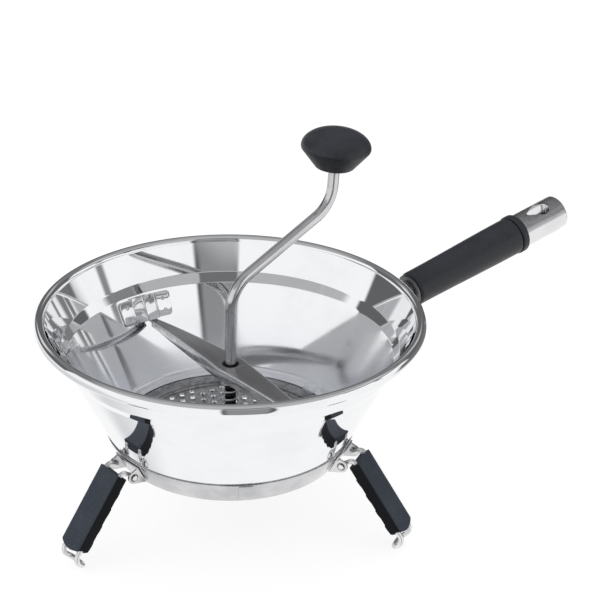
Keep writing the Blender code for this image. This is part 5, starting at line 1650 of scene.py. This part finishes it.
@dataclass
class Leg:
    """Folding leg: a bent wire in two ears, and a moulded sleeve with ribs below."""

    index: int
    wire_r: float = 0.00175
    limb: float = 0.0080
    pin: float = 0.0128
    knee_reach: float = 0.0083
    knee_rise: float = math.radians(31.0)
    tilt: float = math.radians(55.0)
    foot_tilt: float = math.radians(140.0)
    knee_r: float = 0.0026
    foot_r: float = 0.0057
    crown_r: float = 0.0055
    length: float = 0.0580
    width: float = 0.0220
    thickness: float = 0.0078
    edge_r: float = 0.0022
    bow: float = 0.0040
    corner_r: float = 0.0008
    rib_count: int = 4
    rib_pitch: float = 0.0125
    rib_start: float = 0.0100
    rib_rise: float = 0.0016
    rib_slope: float = 0.0060
    margin: float = 0.002
    knee: Vector = field(init=False)
    down: Vector = field(init=False)
    sleeve_top: Vector = field(init=False)

    def __post_init__(self) -> None:
        """Work out the knee and where the sleeve starts."""
        self.knee = Vector((
            self.knee_reach * math.cos(self.knee_rise), 0.0, self.knee_reach * math.sin(self.knee_rise)))
        self.down = Vector((math.cos(self.tilt), 0.0, -math.sin(self.tilt)))
        run = self.knee_r * math.tan((self.knee_rise + self.tilt) / 2)
        self.sleeve_top = self.knee + self.down * (run + FIT)

    def wire(self) -> BMesh:
        """Hairpin of round wire with a rounded foot."""
        run = self.foot_r * math.tan((self.foot_tilt - self.tilt) / 2)
        corner = self.sleeve_top + self.down * (self.length + 0.0005 + run)
        inwards = Vector((math.cos(self.foot_tilt), 0.0, -math.sin(self.foot_tilt)))
        tip = corner + inwards * (run + self.crown_r)
        side = [
            (Vector((0.0, self.pin, 0.0)), 0.0), (Vector((0.0, self.limb, 0.0)), 0.0025),
            (self.knee + Vector((0.0, self.limb, 0.0)), self.knee_r),
            (corner + Vector((0.0, self.limb, 0.0)), self.foot_r),
            (tip + Vector((0.0, self.limb, 0.0)), self.crown_r),
        ]
        mirrored = [(Vector((point.x, -point.y, point.z)), bend) for point, bend in reversed(side)]
        return swept(rounded(side + mirrored, math.radians(9.0)), self.wire_r, 20)

    def section(self) -> BMesh:
        """Rounded bar that the sleeve is cut from, along X."""
        half = self.width / 2
        top, low = self.thickness / 2, -self.thickness / 2 - self.rib_rise
        corners = [
            (0.0, top, 0.0), (half, top, self.edge_r), (half, low, self.edge_r),
            (-half, low, self.edge_r), (-half, top, self.edge_r),
        ]
        bm = slab(looped(corners, math.radians(10.0)), self.length)
        turn = Matrix(((0.0, 0.0, 1.0), (1.0, 0.0, 0.0), (0.0, 1.0, 0.0))).to_4x4()
        middle = Matrix.Translation((self.length / 2, 0.0, 0.0))
        bmesh.ops.transform(bm, matrix=middle @ turn, verts=bm.verts)
        return bm

    def side_view(self) -> BMesh:
        """Guide solid of the sleeve's side outline, with its saw-tooth ribs."""
        half, end = self.thickness / 2, self.length + self.margin
        start, high = -self.margin, self.width
        corners = [(start, -half, 0.0), (start, high, 0.0), (end, high, 0.0), (end, -half, 0.0)]
        for index in reversed(range(self.rib_count)):
            crest = self.rib_start + self.rib_pitch * index
            corners += [
                (crest + self.rib_slope, -half, 0.0010), (crest, -half - self.rib_rise, 0.0003),
                (crest - self.rib_rise / 2, -half, 0.0002),
            ]
        return upright(slab(looped(corners, math.radians(12.0)), 4 * self.width))

    def plan_view(self) -> BMesh:
        """Guide solid of the sleeve's plan, rounded at the foot."""
        half = self.width / 2
        bow_r = (half * half + self.bow * self.bow) / (2 * self.bow)
        spread = math.degrees(math.asin(half / bow_r))
        arc = ellipse((self.length - bow_r, 0.0), (bow_r, bow_r), spread, -spread, 24)
        shoulder = self.length - self.bow - 0.003
        start, wide = -self.margin, half + 2 * self.margin
        corners = [
            (start, 0.0, 0.0), (start, wide, 0.0), (shoulder, wide, 0.0), (shoulder, half, 0.0),
            (*arc[0], self.corner_r), *[(x, y, 0.0) for x, y in arc[3:-3]], (*arc[-1], self.corner_r),
            (shoulder, -half, 0.0), (shoulder, -wide, 0.0), (start, -wide, 0.0),
        ]
        return slab(looped(corners, math.radians(8.0)), 0.05)

    def build(self, shop: Workshop) -> None:
        """Make the wire and the sleeve; the ears follow their solid."""
        place = MILL.leg(self.index)
        number = self.index + 1
        body = Body[f"LEG_{number}"]
        wire = self.wire()
        bmesh.ops.transform(wire, matrix=place, verts=wire.verts)
        cut = bmesh.ops.bisect_plane(
            wire, geom=list(wire.verts) + list(wire.edges) + list(wire.faces), dist=0.000001,
            plane_co=(0.0, 0.0, 0.0), plane_no=(0.0, 0.0, -1.0), clear_outer=True,
        )["geom_cut"]
        bmesh.ops.contextual_create(wire, geom=[item for item in cut if isinstance(item, Edge)])
        hairpin = shop.raw(f"leg_hairpin_{number}", wire, Matrix.Identity(4))
        shop.mount(hairpin, Finish.WIRE, body, f"leg_wire_{number}")
        seat = place @ Matrix.Translation(self.sleeve_top) @ Matrix.Rotation(self.tilt, 4, "Y")
        sleeve = shop.raw(f"leg_grip_{number}", self.section(), seat)
        shop.carve(sleeve, self.side_view(), seat, "INTERSECT")
        shop.carve(sleeve, self.plan_view(), seat, "INTERSECT")
        bore_r = self.wire_r + FIT
        for side in (-1.0, 1.0):
            bore = drill(bore_r, -0.01, 0.07, 24)
            along = Matrix.Translation((0.0, side * self.limb, 0.0)) @ Matrix.Rotation(QUARTER, 4, "Y")
            shop.carve(sleeve, bore, seat @ along)
        ease(sleeve, 0.0006, 3, math.radians(50.0))
        shop.mount(sleeve, Finish.SLEEVE, body, f"leg_sleeve_{number}")
        shop.refine(f"leg_bracket_{number}", f"leg_ears_{number}", Finish.BRACKET, Body.MILL, 0.00022)


@dataclass(frozen=True)
class Panel:
    """A grey board that only mirrors see; angles in degrees, azimuth 0 away from the camera."""

    centre: float
    half: float
    low: float
    high: float
    shade: float
    soft: float = 3.0

    def share(
        self, net: ShaderNet, where: Socket, rise: Signal, ahead: Vector, right: Vector,
    ) -> Signal:
        """How much of a direction the board covers.

        Args:
            net: The world's shader net.
            where: The direction.
            rise: Its elevation in degrees.
            ahead: Level direction away from the camera.
            right: Level direction to the camera's right.

        Returns:
            1 on the board and 0 beside it.
        """
        turn = math.radians(self.centre)
        front = ahead * math.cos(turn) + right * math.sin(turn)
        side = right * math.cos(turn) - ahead * math.sin(turn)
        bearing = net.along(where, side).maths("ARCTAN2", net.along(where, front))
        offset = abs(bearing) * math.degrees(1.0)
        cover = rise.step(self.low - self.soft / 2, self.low + self.soft / 2)
        cover = cover * rise.step(self.high + self.soft / 2, self.high - self.soft / 2)
        if self.half < 180.0:
            cover = cover * offset.step(self.half + self.soft / 2, self.half - self.soft / 2)
        return cover


@dataclass
class Studio:
    """Pale floor, soft light and the camera."""

    panels: tuple[Panel, ...] = (
        Panel(0.0, 180.0, 33.0, 95.0, 0.34, 5.0),
        Panel(180.0, 90.0, 34.0, 95.0, 0.48, 2.0),
        Panel(180.0, 80.0, 29.0, 31.5, 0.22, 1.0),
        Panel(-7.5, 71.5, 0.0, 33.0, 0.13, 3.0),
        Panel(-7.5, 71.5, 33.0, 50.0, 0.20, 4.0),
        Panel(-35.0, 11.0, 19.0, 33.0, 0.72, 5.0),
        Panel(20.0, 12.0, 26.0, 34.0, 0.50, 4.0),
        Panel(48.0, 26.0, -24.0, 6.0, 0.18, 6.0),
        Panel(84.5, 27.5, 24.0, 33.0, 0.24),
        Panel(89.5, 2.6, 12.0, 26.0, 0.27),
        Panel(-100.0, 25.0, 27.0, 34.0, 0.50),
        Panel(80.0, 20.0, 34.0, 48.0, 0.62, 4.0),
        Panel(-72.5, 32.5, -60.0, -10.0, 0.74, 16.0),
        Panel(170.0, 15.0, -50.0, 28.0, 0.12),
        Panel(170.5, 12.0, -50.0, 28.0, 0.29, 4.0),
        Panel(170.0, 15.0, 28.0, 34.0, 0.52, 2.0),
        Panel(170.0, 15.0, 34.0, 46.0, 0.17, 2.0),
    )
    picture: float = 600.0
    sensor: float = 36.0
    focal: float = 1808.343
    distance: float = 1.2
    elevation: float = math.radians(26.262)
    azimuth: float = math.radians(36.0)
    yaw: float = math.radians(2.189)
    pitch: float = math.radians(0.380)
    roll: float = math.radians(0.239)

    def axes(self) -> tuple[Vector, Vector]:
        """Level directions away from the camera and to its right."""
        ahead = Vector((math.sin(self.azimuth), math.cos(self.azimuth), 0.0))
        return ahead, Vector((ahead.y, -ahead.x, 0.0))

    def camera(self) -> None:
        """Camera at the photograph's angle."""
        level, right = self.axes()
        up_axis = Vector((0.0, 0.0, 1.0))
        forward = level * math.cos(self.elevation) - up_axis * math.sin(self.elevation)
        position = MILL.rim().translation - forward * self.distance
        up = right.cross(forward)
        turned_forward = forward * math.cos(self.yaw) + right * math.sin(self.yaw)
        turned_right = right * math.cos(self.yaw) - forward * math.sin(self.yaw)
        aim = turned_forward * math.cos(self.pitch) + up * math.sin(self.pitch)
        lift = up * math.cos(self.pitch) - turned_forward * math.sin(self.pitch)
        side = turned_right * math.cos(self.roll) + lift * math.sin(self.roll)
        lift = lift * math.cos(self.roll) - turned_right * math.sin(self.roll)
        data = bpy.data.cameras.new("camera")
        data.sensor_width = self.sensor
        data.lens = self.focal * self.sensor / self.picture
        data.clip_start, data.clip_end = 0.01, 50.0
        camera = linked("camera", data)
        turn = Matrix((side, lift, -aim)).transposed().to_4x4()
        camera.matrix_world = Matrix.Translation(position) @ turn
        bpy.context.scene.camera = camera

    def floor(self) -> None:
        """Large pale floor that keeps a soft shadow."""
        bm = bmesh.new()
        bmesh.ops.create_grid(bm, x_segments=1, y_segments=1, size=6.0)
        floor = drawn("floor", bm)
        material, net = new_net("floor_paper")
        seen, glossy = net.rays()
        seen = seen.most(glossy)
        plain = net.node("ShaderNodeBsdfDiffuse", None, {"Color": (0.16, 0.16, 0.165, 1.0)})
        pale = net.node("ShaderNodeBsdfDiffuse", None, {"Color": (0.20, 0.20, 0.20, 1.0)})
        glow = net.node("ShaderNodeEmission", None, {"Color": (1.0, 1.0, 1.0, 1.0), "Strength": 0.86})
        lit = net.node("ShaderNodeAddShader", None, {0: pale.outputs[0], 1: glow.outputs[0]})
        both = net.node("ShaderNodeMixShader", None, {0: seen, 1: plain.outputs[0], 2: lit.outputs[0]})
        net.node("ShaderNodeOutputMaterial", None, {"Surface": both.outputs[0]})
        floor.data.materials.append(material)
        floor.visible_glossy = False

    def world(self) -> None:
        """White surroundings, with the studio's grey boards for what the steel mirrors."""
        world = bpy.data.worlds.new("studio")
        world.use_nodes = True
        bpy.context.scene.world = world
        net = ShaderNet(world.node_tree)
        where = net.node("ShaderNodeTexCoord").outputs["Generated"]
        level, right = self.axes()
        _, _, up = net.split(where)
        rise = up.maths("ARCSINE") * math.degrees(1.0)
        mirrored: object = (1.0, 1.0, 1.0)
        for panel in self.panels:
            grey = (panel.shade * 0.99, panel.shade * 0.995, panel.shade * 1.01)
            mirrored = net.mix(panel.share(net, where, rise, level, right), mirrored, grey)
        seen, glossy = net.rays()
        soft = net.mix(up.step(0.0, 0.8), (0.10, 0.102, 0.108), (1.0, 1.01, 1.03))
        colour = net.mix(glossy, soft, mirrored)
        colour = net.mix(seen, colour, (1.0, 1.0, 1.0))
        background = net.node("ShaderNodeBackground", None, {"Color": colour, "Strength": 1.0})
        net.node("ShaderNodeOutputWorld", None, {"Surface": background.outputs[0]})

    def lamp(self, name: str, place: Vector, size: float, power: float) -> None:
        """A square soft lamp that looks at the mill."""
        data = bpy.data.lights.new(name, "AREA")
        data.size = size
        data.energy = power
        lamp = linked(name, data)
        lamp.location = place
        lamp.rotation_mode = "QUATERNION"
        lamp.rotation_quaternion = (MILL.rim().translation - place).to_track_quat("-Z", "Y")
        lamp.visible_camera = False
        lamp.visible_glossy = False

    def build(self) -> None:
        """Set up the whole studio."""
        self.camera()
        self.floor()
        self.world()
        level, right = self.axes()
        up = Vector((0.0, 0.0, 1.0))
        self.lamp("top_lamp", level * 0.2 + up * 1.6, 1.2, 5.0)
        self.lamp("left_lamp", right * -1.3 - level * 0.5 + up * 1.0, 0.9, 3.0)
        bpy.context.scene.view_settings.view_transform = "Standard"


def main() -> None:
    """Dress the mill and its studio."""
    logging.basicConfig(level=logging.INFO, format="%(name)s: %(message)s")
    Studio().build()
    shop = Workshop()
    Bowl().build(shop)
    Clips().build(shop)
    SieveDisc().build(shop)
    Crossbar().build(shop)
    Crank().build(shop)
    Handle().build(shop)
    for index in range(3):
        Leg(index).build(shop)
    LOG.info("%d pieces made", shop.count)


if __name__ == "__main__":
    main()
